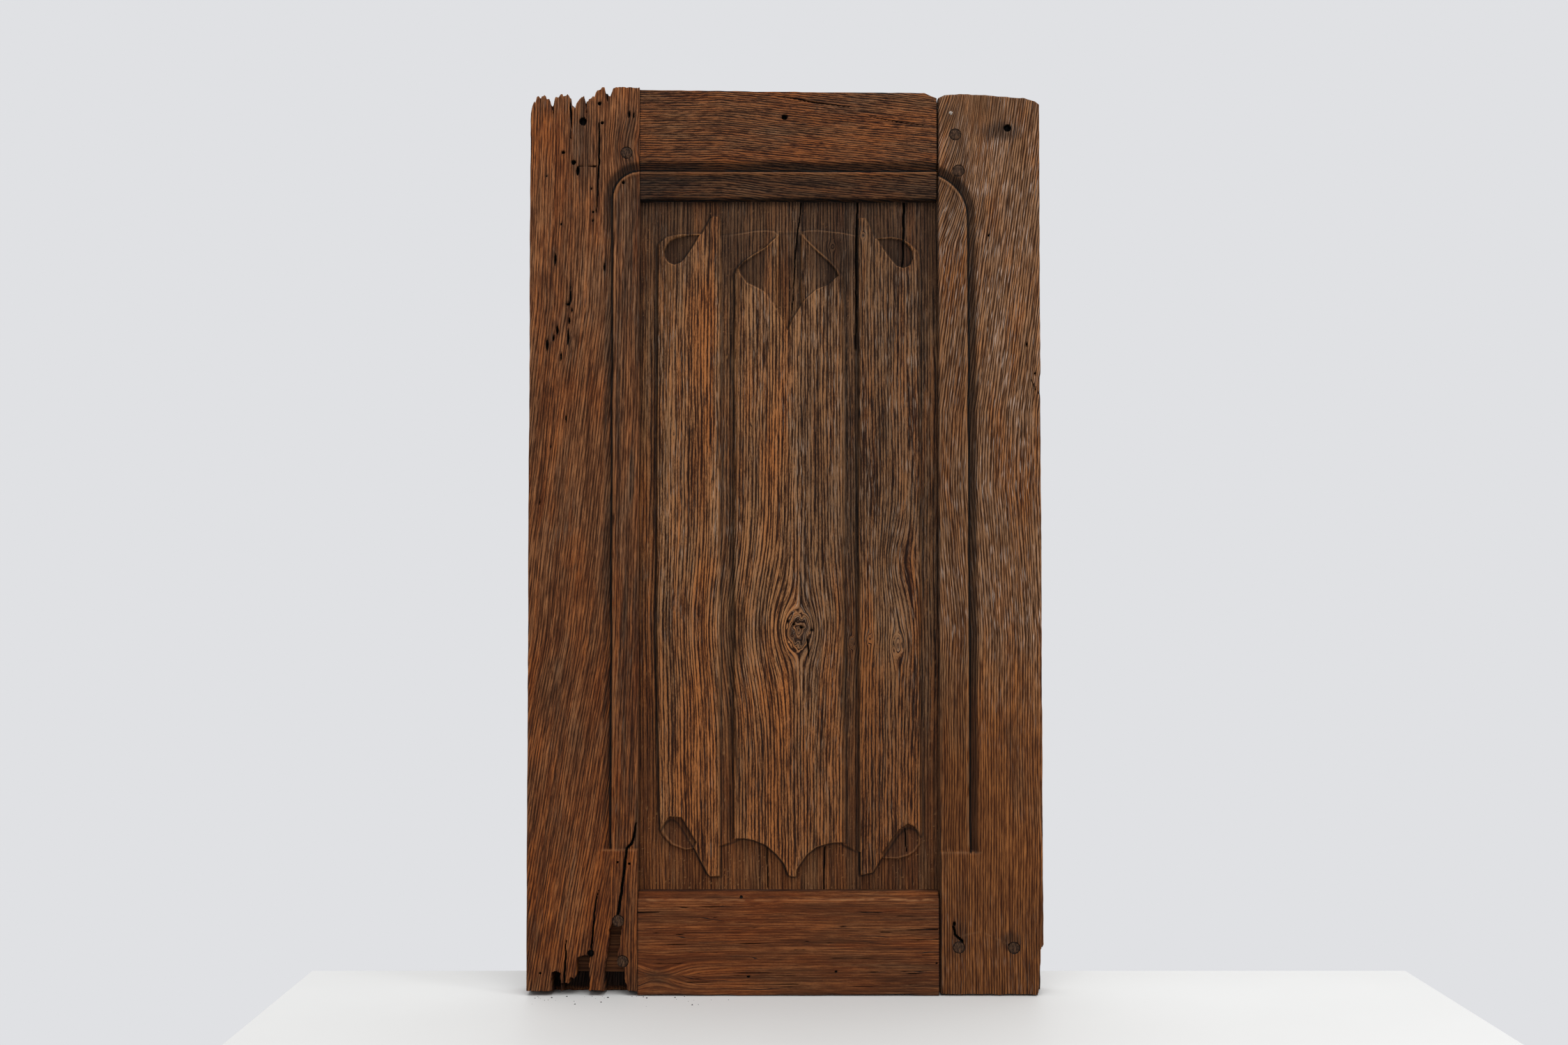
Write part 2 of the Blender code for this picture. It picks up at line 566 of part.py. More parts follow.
def bottom_rail():
    section = (
        (0.0, 0.0), (0.0, BOTTOM_RAIL_FACE), (GROOVE_FRONT, BOTTOM_RAIL_TOP),
        (GROOVE_FRONT, BOTTOM_RAIL_TOP - GROOVE_REACH), (GROOVE_BACK, BOTTOM_RAIL_TOP - GROOVE_REACH),
        (GROOVE_BACK, BOTTOM_RAIL_TOP), (FRAME_THICK, BOTTOM_RAIL_TOP), (FRAME_THICK, 0.0),
    )
    rail = level_solid("bottom_rail_blank", section, RAIL_LEFT_END, RAIL_RIGHT_END)
    join(rail, tenons(BOTTOM_TENON))
    cut(rail, rail_peg_holes(0.0, BOTTOM_RAIL_TOP))
    return finish(rail, "bottom_rail", (0.17, 0.07, 0.035), 0.6)


def fold(name, profile, outline, sink):
    """One raised fold: its cross-section run upright and trimmed to its outline."""
    section = [(x, GROUND_DEPTH - rise) for x, rise in profile]
    section = [(profile[-1][0], GROUND_DEPTH + sink), (profile[0][0], GROUND_DEPTH + sink), *section]
    solid = upright_solid(name, section, *FOLD_RUN)
    return keep_inside(solid, [front_solid(name + "_trim", outline, -OVERCUT, BOARD_THICK + GROUND_DEPTH)])


def sloping_floor(solid, rise_at):
    """Tilt the buried end of a straight cutter so that it leaves a sloping floor."""
    back = GROUND_DEPTH - DISH_FLOOR - HALF_THICK
    for vertex in solid.data.vertices:
        if abs(vertex.co.y - back) < NEAR:
            vertex.co.y = GROUND_DEPTH - rise_at(vertex.co) - HALF_THICK
    return solid


def dish(name, outline, rise):
    """Scoop whose floor goes from one rise above the ground at the bottom to another on top."""
    solid = front_solid(name, outline, -OVERCUT, GROUND_DEPTH - DISH_FLOOR)
    heights = [z for x, z in outline]
    low, high = min(heights), max(heights)
    return sloping_floor(solid, lambda co: rise[0] + (rise[1] - rise[0]) * (co.z - low) / (high - low))


def flap(name, outline, span):
    """Scoop whose floor slopes sideways from its outer point up to the middle of the panel."""
    solid = front_solid(name, outline, -OVERCUT, GROUND_DEPTH - DISH_FLOOR)
    low, high = FLAP_RISE
    return sloping_floor(solid, lambda co: low + (high - low) * (co.x - span[0]) / (span[1] - span[0]))


def linenfold_panel():
    left = LEFT_SHOULDER - TONGUE
    right = RIGHT_SHOULDER + TONGUE
    low = BOTTOM_RAIL_TOP - TONGUE
    high = TOP_RAIL_LOW + TONGUE
    front = GROUND_DEPTH
    edge = GROUND_DEPTH + EDGE_THICK
    back = GROUND_DEPTH + BOARD_THICK
    plan = (
        (left, front), (right, front), (right, edge), (right - TONGUE - 1.0, edge), (right - BEVEL_RUN, back),
        (left + BEVEL_RUN, back), (left + TONGUE + 1.0, edge), (left, edge),
    )
    side = (
        (front, low), (front, high), (edge, high), (edge, high - TONGUE - 1.0), (back, high - BEVEL_RUN),
        (back, low + BEVEL_RUN), (edge, low + TONGUE + 1.0), (edge, low),
    )
    board = upright_solid("board", plan, low, high)
    keep_inside(board, [level_solid("board_side", side, left - OVERCUT, right + OVERCUT)])

    left_fold = fold("left_fold", LEFT_FOLD, LEFT_FOLD_OUTLINE, 1.0)
    cut(left_fold, [dish("left_top_dish", LEFT_TOP_DISH, DISH_RISE)])
    left_tail = front_solid("left_tail", LEFT_TAIL, GROUND_DEPTH - RIM_HIGH, GROUND_DEPTH + 1.2)
    cut(left_tail, [dish("left_tail_dish", LEFT_TAIL_DISH, TAIL_RISE)])
    centre_fold = fold("centre_fold", CENTRE_FOLD, CENTRE_FOLD_OUTLINE, 1.4)
    cut(centre_fold, [
        flap("diamond_left", DIAMOND_LEFT, LEFT_FLAP_SPAN),
        flap("diamond_right", DIAMOND_RIGHT, RIGHT_FLAP_SPAN),
        front_solid("diamond_strip", DIAMOND_STRIP, -OVERCUT, GROUND_DEPTH + STRIP_DEEP),
    ])
    right_fold = fold("right_fold", RIGHT_FOLD, RIGHT_FOLD_OUTLINE, 1.6)
    cut(right_fold, [dish("right_top_dish", RIGHT_TOP_DISH, DISH_RISE)])
    right_tail = front_solid("right_tail", RIGHT_TAIL, GROUND_DEPTH - RIM_HIGH, GROUND_DEPTH + 1.8)
    cut(right_tail, [dish("right_tail_dish", RIGHT_TAIL_DISH, TAIL_RISE)])
    left_valley = fold("left_valley", LEFT_VALLEY, LEFT_VALLEY_OUTLINE, 2.0)
    right_valley = fold("right_valley", RIGHT_VALLEY, RIGHT_VALLEY_OUTLINE, 2.2)
    join(board, [left_valley, right_valley, left_tail, right_tail, left_fold, centre_fold, right_fold])
    cut(board, [front_solid("crack", points, -OVERCUT, GROUND_DEPTH + CRACK_DEEP) for points in BOARD_CRACKS])
    return finish(board, "linenfold_panel", (0.13, 0.07, 0.04), 0.66)


def pegs():
    for name, x, height in PEGS:
        peg = rod(name, x, height, PEG_RADIUS, PEG_RADIUS - PEG_TAPER, PEG_SHY, FRAME_THICK - PEG_SHY, PEG_SIDES)
        finish(peg, name, (0.07, 0.045, 0.03), 0.7)


def nail():
    x, height = NAIL_AT
    shank = rod("nail_shank", x, height, NAIL_SHANK_RADIUS, NAIL_SHANK_RADIUS * 0.5, 0.5, NAIL_LENGTH, NAIL_SIDES)
    head = rod("nail_head", x, height, NAIL_HEAD_RADIUS, NAIL_HEAD_RADIUS, 0.0, NAIL_HEAD_THICK, NAIL_SIDES)
    join(head, [shank])
    finish(head, "nail", (0.25, 0.22, 0.2), 0.45, 0.8)


clear_scene()
parts = new_collection("carved_oak_panel")
cutters = new_collection("cutters", hidden=True)
left_stile()
right_stile()
top_rail()
bottom_rail()
linenfold_panel()
pegs()
nail()
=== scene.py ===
"""Dressed model of the carved oak panel: weathered stiles, rails, board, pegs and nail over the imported
solids, with oak materials made of nodes, a pale slab to stand on, soft light and the camera.

Shapes are worked in millimetres: x to the right, height upwards, depth backwards from the face."""

import json
import math

import bpy
import numpy as np
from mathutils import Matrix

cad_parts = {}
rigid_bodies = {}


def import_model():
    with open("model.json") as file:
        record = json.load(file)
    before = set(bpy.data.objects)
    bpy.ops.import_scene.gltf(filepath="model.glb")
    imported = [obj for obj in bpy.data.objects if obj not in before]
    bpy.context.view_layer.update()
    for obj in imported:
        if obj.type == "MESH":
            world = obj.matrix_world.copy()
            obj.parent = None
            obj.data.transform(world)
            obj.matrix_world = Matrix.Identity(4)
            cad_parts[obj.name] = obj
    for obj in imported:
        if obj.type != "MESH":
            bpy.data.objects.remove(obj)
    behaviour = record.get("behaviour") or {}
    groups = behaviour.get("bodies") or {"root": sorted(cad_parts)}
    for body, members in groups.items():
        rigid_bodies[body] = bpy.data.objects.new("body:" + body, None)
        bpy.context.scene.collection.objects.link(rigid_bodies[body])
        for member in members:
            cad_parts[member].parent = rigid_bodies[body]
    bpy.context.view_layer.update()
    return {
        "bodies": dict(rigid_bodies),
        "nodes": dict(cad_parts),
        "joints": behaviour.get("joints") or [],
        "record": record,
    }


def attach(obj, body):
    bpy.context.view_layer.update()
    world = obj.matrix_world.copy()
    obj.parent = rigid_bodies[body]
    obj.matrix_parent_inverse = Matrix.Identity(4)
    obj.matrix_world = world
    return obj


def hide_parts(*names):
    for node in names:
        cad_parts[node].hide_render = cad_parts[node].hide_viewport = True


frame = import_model()

# Edges of the pieces, grooves and tenons. The face is at depth 0.
MM = 0.001
LEFT_EDGE, RIGHT_EDGE = -239, 239
THICK = 36
HALF = THICK / 2
LEFT_SHOULDER, RIGHT_SHOULDER = -136.3, 143.7
RAIL_LEFT, RAIL_RIGHT = -136, 142.4
TOP_LOW, TOP_ARRIS = 739.4, 741.7
BOTTOM_FACE, BOTTOM_TOP = 88.6, 95.6
TALLEST = 846.4
RIGHT_TALL, RAIL_TALL = TALLEST - 5.8, TALLEST - 2.2
GROUND = 13.5
GROOVE_FRONT, GROOVE_BACK, GROOVE_REACH = 13.2, 21.2, 9
TONGUE = 8
SKIN = 0.3
TENON_STARTS, TENON_LONG = 140, 77.8
TOP_TENON, BOTTOM_TENON, STILE_GROOVE = (752, 828), (19.7, 82), (82, 752)

# Steps of the front's grid to one of the back's, and the masks on the back where they aren't 0.
COARSE = 4
UNSEEN = {"gap": 9, "shade": 1}

# Place of the camera in metres, and its tilt in degrees.
CAMERA_AT, CAMERA_TILT = (-0.00083, -1.6373, 0.3803), 92

# Run moulding: distance outwards from the wall of the bead, and depth.
MOULDING = (
    (-24.6, 6), (-3.8, 2.2), (-3.2, 1.3), (-1.5, 0.9), (-0.3, 1.5), (0, 4.3), (0.5, 4.8), (1.3, 4.7),
    (3.5, 3.8), (5.8, 2.3), (7.8, 0.9), (9.3, 0),
)
RAIL_BEAD = 766.3
LEFT_ARC, LEFT_RADIUS, LEFT_STOP = (-135.2, 740.8), 25.8, 133.5
RIGHT_ARC, RIGHT_RADIUS, RIGHT_STOP = (128.6, 723), 42.3, 131

# Carved folds: x and rise above the ground, and their outlines from the front.
LEFT_FOLD = (
    (-120.3, 0), (-119, 4.4), (-116, 6), (-108, 7.1), (-94, 7), (-78, 6.2), (-66, 5.5),
    (-61.8, 4.8), (-60.6, 3),
)
CENTRE_FOLD = (
    (-48.2, 0.2), (-46.7, 4.6), (-43, 5.9), (-30, 6.8), (-8, 7.1), (16, 6.9), (36, 6.3),
    (48, 5.9), (52.8, 5.2), (54.7, 3),
)
RIGHT_FOLD = (
    (68.2, 0.2), (69.8, 4.7), (73, 5.9), (84, 6.8), (98, 6.9), (112, 6.4), (121, 5.8),
    (125.4, 4.4), (127, 0),
)
LEFT_VALLEY = ((-61.5, 2.4), (-54, 1.7), (-50, 0.6), (-5, 0.5))
RIGHT_VALLEY = ((14, 0.5), (44, 0.6), (53.5, 2.2), (60.5, 1.6), (66, 0.5), (70, 0.4))
LEFT_FOLD_OUTLINE = (
    (-69, 726.2), (-62.4, 726.2), (-60, 722), (-60, 107.6), (-70.2, 107.6), (-72.5, 110.6),
    (-79.1, 123.2), (-85.6, 136), (-92.1, 147), (-99.2, 157.6), (-103, 160.2), (-106.8, 160.9),
    (-111, 158.4), (-114, 154.4), (-116, 150.8), (-116.6, 160), (-118.2, 220), (-121, 330),
    (-121, 698),
    (-119.4, 700.4), (-112.2, 706.4), (-100.4, 708.8), (-78.8, 709.4),
)
LEFT_TOP_DISH = (
    (-79.4, 708.6), (-93, 707.6), (-102, 705.6), (-108.5, 702.8), (-112.2, 697.8), (-114.2, 692.2),
    (-113.2, 686.4), (-109.6, 681.4), (-104.6, 679.4), (-99, 681), (-95.1, 684.2), (-87.3, 695.3),
)
LEFT_TAIL = (
    (-84.9, 133), (-83, 138), (-96, 161), (-108, 165), (-115.6, 158), (-117, 151),
    (-113.6, 144.6), (-105.4, 136.2), (-92.6, 131.8),
)
LEFT_TAIL_DISH = (
    (-84, 134.4), (-82, 140), (-96, 163), (-108, 164), (-112.6, 158), (-113.6, 152.4),
    (-111.4, 145.6), (-104.4, 138), (-92.4, 133.2),
)
LEFT_VALLEY_OUTLINE = (
    (-62, 707.6), (-50, 708.8), (-39.5, 710.6), (-29, 712.4), (-17.9, 713.1), (-10, 712.2),
    (-6.6, 708.8), (-11.3, 703.4), (-29, 690), (-44, 678), (-44, 142.6), (-47.4, 140),
    (-58.8, 136), (-62, 135.6),
)
CENTRE_FOLD_OUTLINE = (
    (-6.6, 708.6), (-11.3, 703.7), (-17.9, 697.3), (-29, 690.7), (-39.5, 683.7), (-45.6, 676.6),
    (-50, 668), (-50, 140.6), (-44.4, 142.5), (-37.7, 142.8), (-29.6, 141.3), (-17.7, 136.4),
    (-8, 128), (-0.8, 119.3), (2.1, 111.3), (3.4, 108.2), (10.2, 107.4), (11, 114),
    (15.7, 121.2), (20.5, 128), (28.6, 134.4), (37.3, 137.3), (45.4, 138.9), (56, 138.9),
    (56, 668), (52.6, 671.6), (48.9, 676.9), (42.4, 684.1), (31.9, 693.4), (20.8, 703.9),
    (16.2, 709.6),
)
DIAMOND_LEFT = (
    (-7.6, 706), (-17.6, 696), (-28.6, 689.4), (-38.9, 682.4), (-44.2, 676.4), (-42.3, 671.2),
    (-36.2, 662.4), (-29, 659.1), (-19.8, 653.9), (-14.6, 647.3), (-6.6, 635.6), (-6.6, 705),
)
DIAMOND_RIGHT = (
    (16.6, 708), (20.4, 702.6), (31.5, 692), (41.8, 682.8), (47.9, 676.2), (50.6, 669),
    (47.9, 667.2), (41.7, 661.1), (29.3, 655.8), (18.8, 646), (16.4, 642), (16.4, 700),
)
DIAMOND_STRIP = (
    (-6.6, 712), (-6.6, 635), (-2.8, 628.9), (2.8, 617.1), (7.7, 628.9), (15.6, 641.4), (15.6, 712),
)
RIGHT_VALLEY_OUTLINE = (
    (15.6, 711.8), (22.6, 713.2), (33.9, 713.1), (50.3, 711.2), (65.3, 708.5), (70.6, 707.4),
    (70.6, 129.6), (65.2, 131.6), (55.5, 136.2), (52, 139), (52, 668), (48, 677),
    (31, 693.4), (20.8, 703.2),
)
RIGHT_FOLD_OUTLINE = (
    (67.4, 724.7), (75.8, 724.7), (85, 705.2), (100.1, 706.5), (111.2, 704.6), (118.4, 699.6),
    (124.9, 693), (127.6, 685.4), (127.6, 148.4), (126.7, 144.8), (122.8, 150.6), (115.7, 153.6),
    (110.9, 151.8), (104.7, 145.8), (98.8, 137), (90, 124.2), (82, 111.4), (71, 108.8),
    (70, 108.8), (70, 130), (67.4, 131),
)
RIGHT_TOP_DISH = (
    (86.2, 704.4), (99.8, 705.4), (110, 703.4), (116.6, 698.6), (120.4, 692.6), (121, 685.4),
    (117.6, 679), (111.6, 676.2), (105, 678.4), (100, 684.1), (91.5, 695.3),
)
RIGHT_TAIL = (
    (90.2, 124), (88, 128), (104, 150), (114, 158), (123, 156), (126.6, 150),
    (126.6, 138), (121.4, 130.2), (114.8, 126.2), (104.9, 123.6),
)
RIGHT_TAIL_DISH = (
    (91.8, 125.4), (90, 130), (105, 151), (114, 157), (121, 154), (124.6, 147),
    (124.4, 138.4), (119.8, 131.8), (114.2, 128), (104.6, 125.2),
)

# Cracks in the board: centre line and half width at each point.
BOARD_CRACKS = (
    ((16.2, 746, 0.3), (13.6, 723, 0.3), (11.3, 708, 0.35), (9.4, 677, 0.3), (6.6, 634, 0.15)),
    ((69, 746, 0.9), (67.9, 726, 0.5), (67.3, 707, 0.6), (66.9, 600, 0.3)),
    ((112.6, 746, 1), (111.6, 706, 0.8), (110.6, 678, 0.4)),
    ((37.5, 135, 0.35), (37, 118, 0.4), (36.1, 92, 0.2)),
    ((-16.7, 134, 0.2), (-15.8, 97, 0.15)),
    ((111.8, 152, 0.25), (112.2, 145, 0.3), (112.9, 131, 0.15)),
    ((2.4, 345, 0.3), (10, 341.5, 0.6), (18, 338.5, 0.6), (26.5, 336.5, 0.3)),
    ((20.5, 330, 0.3), (21.6, 322, 0.5), (22.4, 312, 0.2)),
)

# Broken upper end of the left stile, and the worn tops of the others.
BROKEN_TOP = (
    (-239, 819), (-237.6, 828), (-234.6, 834.2), (-231.4, 837.4), (-226, 838.2), (-220.6, 835.6),
    (-219.4, 831.6), (-217.6, 829.4), (-215.6, 836), (-211.4, 839), (-204.6, 840.8), (-200.6, 838.6),
    (-200.4, 827.6), (-197.6, 827.2), (-192.4, 835), (-188.4, 837.8), (-186.8, 832.2), (-182.6, 835.6),
    (-178.4, 838.6), (-174.2, 846), (-169.6, 846.4), (-166.8, 841), (-163.6, 838.4), (-161.2, 844.8),
    (-158.4, 846.2), (-136.3, 845.6),
)
RAIL_TOP_LINE = (
    (-136, 844.2), (-60, 843.4), (20, 842.2), (131, 841.4), (136, 838.8), (142.4, 836.4),
)
RIGHT_TOP_LINE = (
    (143.7, 836.8), (149.6, 839.6), (164.6, 840.6), (184.2, 839.8), (213.6, 837.6), (225.6, 836.8),
    (234.6, 834), (239, 830.8),
)

# Decayed lower end of the left stile.
LOST_SLIVER = ((-214.2, 21.4), (-211, 22.6), (-207.6, 20.2), (-207.2, -4), (-215.6, -4))
LOST_FIELD = (
    (-191.2, 35.4), (-185, 36.6), (-180.2, 36), (-180.6, 22), (-181, 4.8), (-166.6, 4.2),
    (-166.2, 22.6), (-163.6, 34.4), (-162.6, 49.4), (-161.4, 60.4), (-159, 67), (-151, 66),
    (-151.2, 60), (-152.8, 51), (-154.4, 37.5), (-152.6, 29), (-148.9, 24.4), (-148.6, 15.6),
    (-145.2, 5.4), (-145.2, -4), (-205.8, -4), (-205.6, 11.4), (-199.2, 10.8), (-197.6, 16.2),
    (-193.6, 15.4), (-192.2, 20.4),
)
LOST_DEEP = 22.7
FOOT_WEAR = ((0, 4.4), (11, 2.6), (20, 0))

PEG_RADIUS = 5.2
PEGS = (
    ("peg_top_left", -148.4, 783.8),
    ("peg_top_right_upper", 159.6, 801),
    ("peg_top_right_lower", 162.6, 766.8),
    ("peg_bottom_left_upper", -154, 68.6),
    ("peg_bottom_left_lower", -149.8, 31.6),
    ("peg_bottom_right_inner", 160.6, 44.4),
    ("peg_bottom_right_outer", 211.4, 44),
)
NAIL_AT = (155.6, 821.4)


def smooth(value):
    value = np.clip(value, 0, 1)
    return value * value * (3 - 2 * value)


def past(value, start, width):
    """Rises from 0 to 1 over the width after start, or over the width before it where that is negative."""
    return smooth((value - start) / width)


def near(value, width, peak=1.3):
    """1 where the value is about zero, fading with the width."""
    return smooth(peak - np.abs(value) / width)


def read(line, x):
    """Value at x of a line given by its points."""
    return np.interp(x, *zip(*line))


def lattice(column, row, seed):
    mixed = column * 374761393 + row * 668265263 + seed * 1442695041
    mixed = (mixed ^ (mixed >> 13)) * 1274126177
    mixed = mixed ^ (mixed >> 16)
    return (mixed & 0xFFFFFF) / float(0xFFFFFF)


def noise(x, y, seed):
    """Smooth value noise between -1 and 1."""
    x, y = np.broadcast_arrays(np.asarray(x, float), np.asarray(y, float))
    column, row = np.floor(x).astype(np.int64), np.floor(y).astype(np.int64)
    across, up = smooth(x - column), smooth(y - row)
    low = lattice(column, row, seed) * (1 - across) + lattice(column + 1, row, seed) * across
    high = lattice(column, row + 1, seed) * (1 - across) + lattice(column + 1, row + 1, seed) * across
    return (low * (1 - up) + high * up) * 2 - 1


def layered(x, y, seed, octaves=3):
    total, size, weight = 0, 1, 0
    for octave in range(octaves):
        total = total + noise(x / size + 7.3 * octave, y / size - 3.1 * octave, seed + octave) * size
        weight += size
        size *= 0.5
    return total / weight


def inside(x, z, points):
    """Distance to a closed outline: positive inside it, negative outside."""
    shape = np.shape(x)
    x, z = np.ravel(x), np.ravel(z)
    nearest = np.full(x.shape, 1e9)
    within = np.zeros(x.shape, bool)
    corners = np.array(points, float)
    for (ax, az), (bx, bz) in zip(corners, np.roll(corners, -1, axis=0)):
        run, climb = bx - ax, bz - az
        along = np.clip(((x - ax) * run + (z - az) * climb) / (run * run + climb * climb + 1e-12), 0, 1)
        nearest = np.minimum(nearest, (x - ax - along * run) ** 2 + (z - az - along * climb) ** 2)
        crosses = (az > z) != (bz > z)
        at = ax + (z - az) * run / (climb if abs(climb) > 1e-12 else 1e-12)
        within ^= crosses & (x < at)
    distance = np.sqrt(nearest)
    return np.where(within, distance, -distance).reshape(shape)


def from_line(x, z, points):
    """Distance to the side of a line whose half width changes from point to point."""
    nearest = np.full(np.shape(x), 1e9)
    for (ax, az, aw), (bx, bz, bw) in zip(points, points[1:]):
        run, climb = bx - ax, bz - az
        along = np.clip(((x - ax) * run + (z - az) * climb) / (run * run + climb * climb + 1e-12), 0, 1)
        gap = np.hypot(x - ax - along * run, z - az - along * climb) - (aw + (bw - aw) * along)
        nearest = np.minimum(nearest, gap)
    return nearest


def from_hole(x, z, hole):
    """Distance to the side of a round or long hole: x, height, half width, half height."""
    cx, cz, wide, high = hole
    return (np.hypot((x - cx) / wide, (z - cz) / high) - 1) * min(wide, high)


def stains(x, z, spots, mottled=1):
    """How stained each place is. A spot is a hole, its strength and how far it reaches."""
    return np.max([
        strength * mottled * smooth(1 - from_hole(x, z, hole) / reach) for hole, strength, reach in spots
    ], axis=0)


def picks(number, rows, seed):
    """Fixed numbers between 0 and 1 that look random."""
    return [lattice(np.int64(number), np.int64(row), seed) for row in rows]


def stations(*spans):
    """Places along a direction. Each span gets a count that suits the coarser grid of the back."""
    out = []
    for start, end, step in spans:
        count = COARSE * max(1, int(round((end - start) / step / COARSE)))
        out.append(np.linspace(start, end, count, endpoint=False))
    return np.append(np.concatenate(out), spans[-1][1])


def ridges(across, along, seed):
    """Raised lines of the weathered grain, 0 in the open pores to 1 on the hard lines."""
    coarse = noise(across / 1.4, along / 30, seed)
    fine = noise(across / 0.85, along / 11, seed + 1)
    broad = noise(across / 4.5, along / 80, seed + 2)
    return np.clip(0.5 + 0.36 * coarse + 0.3 * fine + 0.08 * broad, 0, 1)


def carved_line(out, dark):
    """Painted shade with grime in the moulding's groove and at its wall, darker slope, and its bead and
    arris.
    """
    groove = past(out, 9.5, -3.5) * past(out, -0.2, 0.8)
    wall = near(out - 0.9, 0.9, 1.7)
    slope = smooth((-out - 3) / 1.5) * (out > -30)
    bead = near(out + 1.4, 1.3)
    arris = near(out + 24.3, 0.9)
    return (1 - dark * groove) * (1 - 0.95 * wall) * (1 - 0.16 * slope), bead, arris, slope, groove


def staggered(across, along, seed):
    """Place along the grain, put off by some millimetres from one line to the next."""
    return along + 6 * noise(across / 3.7, along / 170, seed)


# Small losses: x, height, half width, half height of holes; lines as x, height, half width.
LEFT_HOLES = (
    (-189.4, 813.4, 3.3, 3.6), (-174, 830.3, 1.6, 1.6), (-217.8, 828.6, 0.9, 1.2), (-171.4, 812.1, 1.3, 1.3),
    (-207.8, 784.1, 1.4, 1.2), (-198, 774.8, 2, 2), (-194.2, 766.7, 1.3, 4.2), (-151.6, 756.2, 1.3, 1.3),
    (-181.2, 749.6, 0.7, 0.8), (-179.5, 727.9, 0.9, 0.9), (-179.8, 719.6, 0.7, 1), (-209.5, 716.3, 0.7, 1),
    (-146.2, 820, 0.8, 3.2), (-141.7, 819, 0.6, 2.2), (-213.5, 687.4, 0.8, 1), (-214.9, 683.3, 1, 4.6),
    (-168.9, 676.1, 0.8, 3.2), (-200.1, 658.4, 0.8, 1.2), (-200.3, 648, 0.9, 5.5), (-202.6, 641, 2.4, 1),
    (-198.9, 636.2, 0.9, 1.6), (-201.6, 625.7, 0.8, 2.4), (-212.6, 616.5, 1.1, 3.8), (-202.5, 610, 0.9, 7),
    (-216.2, 609, 0.9, 2.4), (-222, 602.8, 1.2, 4.6), (-209, 592, 0.9, 3), (-204.1, 534.3, 0.8, 2.2),
    (-218.3, 508.3, 0.8, 1.6), (-225.7, 20.7, 0.9, 0.9), (-154.7, 122.5, 0.8, 0.9), (-144, 121.2, 1.1, 1.1),
    (-179.2, 38.9, 3, 3.2), (-223, 762, 0.6, 0.6), (-228, 455, 0.7, 1.4),
)
LEFT_CRACKS = (
    ((-174.2, 812, 0.4), (-174.2, 776, 0.7), (-176.3, 727, 0.25)),
    ((-177, 771, 0.3), (-186, 770.6, 0.25), (-193, 770.9, 0.15)),
    ((-217.6, 832, 0.6), (-217, 818, 0.1)), ((-186.8, 833, 0.6), (-186, 822, 0.1)),
    ((-200.6, 830, 1), (-200.3, 812, 0.4), (-201, 795, 0.1)), ((-166.8, 842, 0.8), (-166.4, 832, 0.1)),
    ((-202, 51, 0.2), (-202.4, 38, 0.6), (-203.8, 8, 0.8)),
    ((-178.4, 43.3, 0.7), (-177.6, 58.6, 0.7), (-175.8, 75.2, 0.5), (-173.9, 88, 0.4), (-172, 97, 0.15)),
    ((-138, 157.4, 0.5), (-140.4, 146.8, 0.9), (-142, 139, 1.1), (-146.4, 135, 1), (-149.1, 107.8, 1),
     (-151.4, 91.8, 1.1), (-153.8, 74, 1.2)),
)
# Stains: a hole, how strong they are and how far they reach.
LEFT_STAINS = (
    ((-190, 797, 6, 22), 0.8, 12), ((-150, 790, 5, 14), 0.8, 9),
    ((-151, 60, 5, 30), 0.6, 9),
)
LEFT_MOTTLES = (
    ((-220, 572, 4, 9), 0.65, 8), ((-201, 432, 2.5, 3.5), 0.6, 4),
    ((-195, 380, 14, 14), 0.4, 14), ((-206, 308, 6, 18), 0.35, 12),
    ((-212, 640, 8, 34), 0.35, 10), ((-222, 66, 10, 16), 0.4, 14),
)
RIGHT_HOLES = (
    (208.8, 807.2, 3.3, 3.3), (226, 604, 0.9, 1.6), (233.6, 577, 1.2, 1), (191, 706, 0.9, 0.8),
    (209, 46.6, 2.8, 1.6), (156.4, 66, 1.2, 2),
)
RIGHT_STAINS = (
    ((202, 804, 9, 4), 1, 9), ((161, 52, 5, 11), 0.7, 6),
    ((209, 50, 6, 6), 0.8, 6), ((161, 784, 6, 22), 0.45, 8),
    ((*NAIL_AT, 3, 5), 0.5, 6),
)
RIGHT_SCRATCH = ((163.7, 54.8, 0.5), (171.4, 57.3, 0.5), (182.4, 58.6, 0.5), (204.2, 48.4, 0.3))
RIGHT_CRACKS = (
    ((239, 556, 0.5), (233, 562, 0.4), (230, 572, 0.2)),
    ((155.6, 63, 0.9), (157, 56, 0.9), (164, 50, 0.9)),
)
TOP_RAIL_HOLES = ((-0.4, 817.4, 2.4, 2.4),)
TOP_RAIL_CRACKS = (
    ((-2, 837, 0.1), (24, 832, 0.35), (60, 827, 0.1)),
    ((80, 818, 0.05), (106, 813, 0.2), (140, 808.5, 0.05)),
)
BOTTOM_RAIL_HOLES = (
    (-40.4, 89.9, 1.3, 1.1), (-33.6, 17.8, 1.1, 1.1), (47.1, 22.3, 1.2, 1), (140, 30, 0.8, 0.8),
)
BOTTOM_RAIL_CRACKS = (
    ((-136, 76.5, 0.4), (-116, 76.6, 0.1)), ((140.8, 61.2, 0.45), (104, 60, 0.1)),
    ((142, 51.9, 0.3), (112, 51, 0.05)), ((142, 37.6, 0.3), (126, 37.2, 0.05)),
)
CORNER_LOSS = (
    (239.5, 47), (236.6, 43), (235.8, 20), (234.2, 4), (232.6, -4), (244, -4), (244, 47),
)
EDGE_CHIP = (
    (239.5, 577), (235.6, 574), (233.8, 566), (236, 558), (239, 553), (244, 553),
    (244, 577),
)


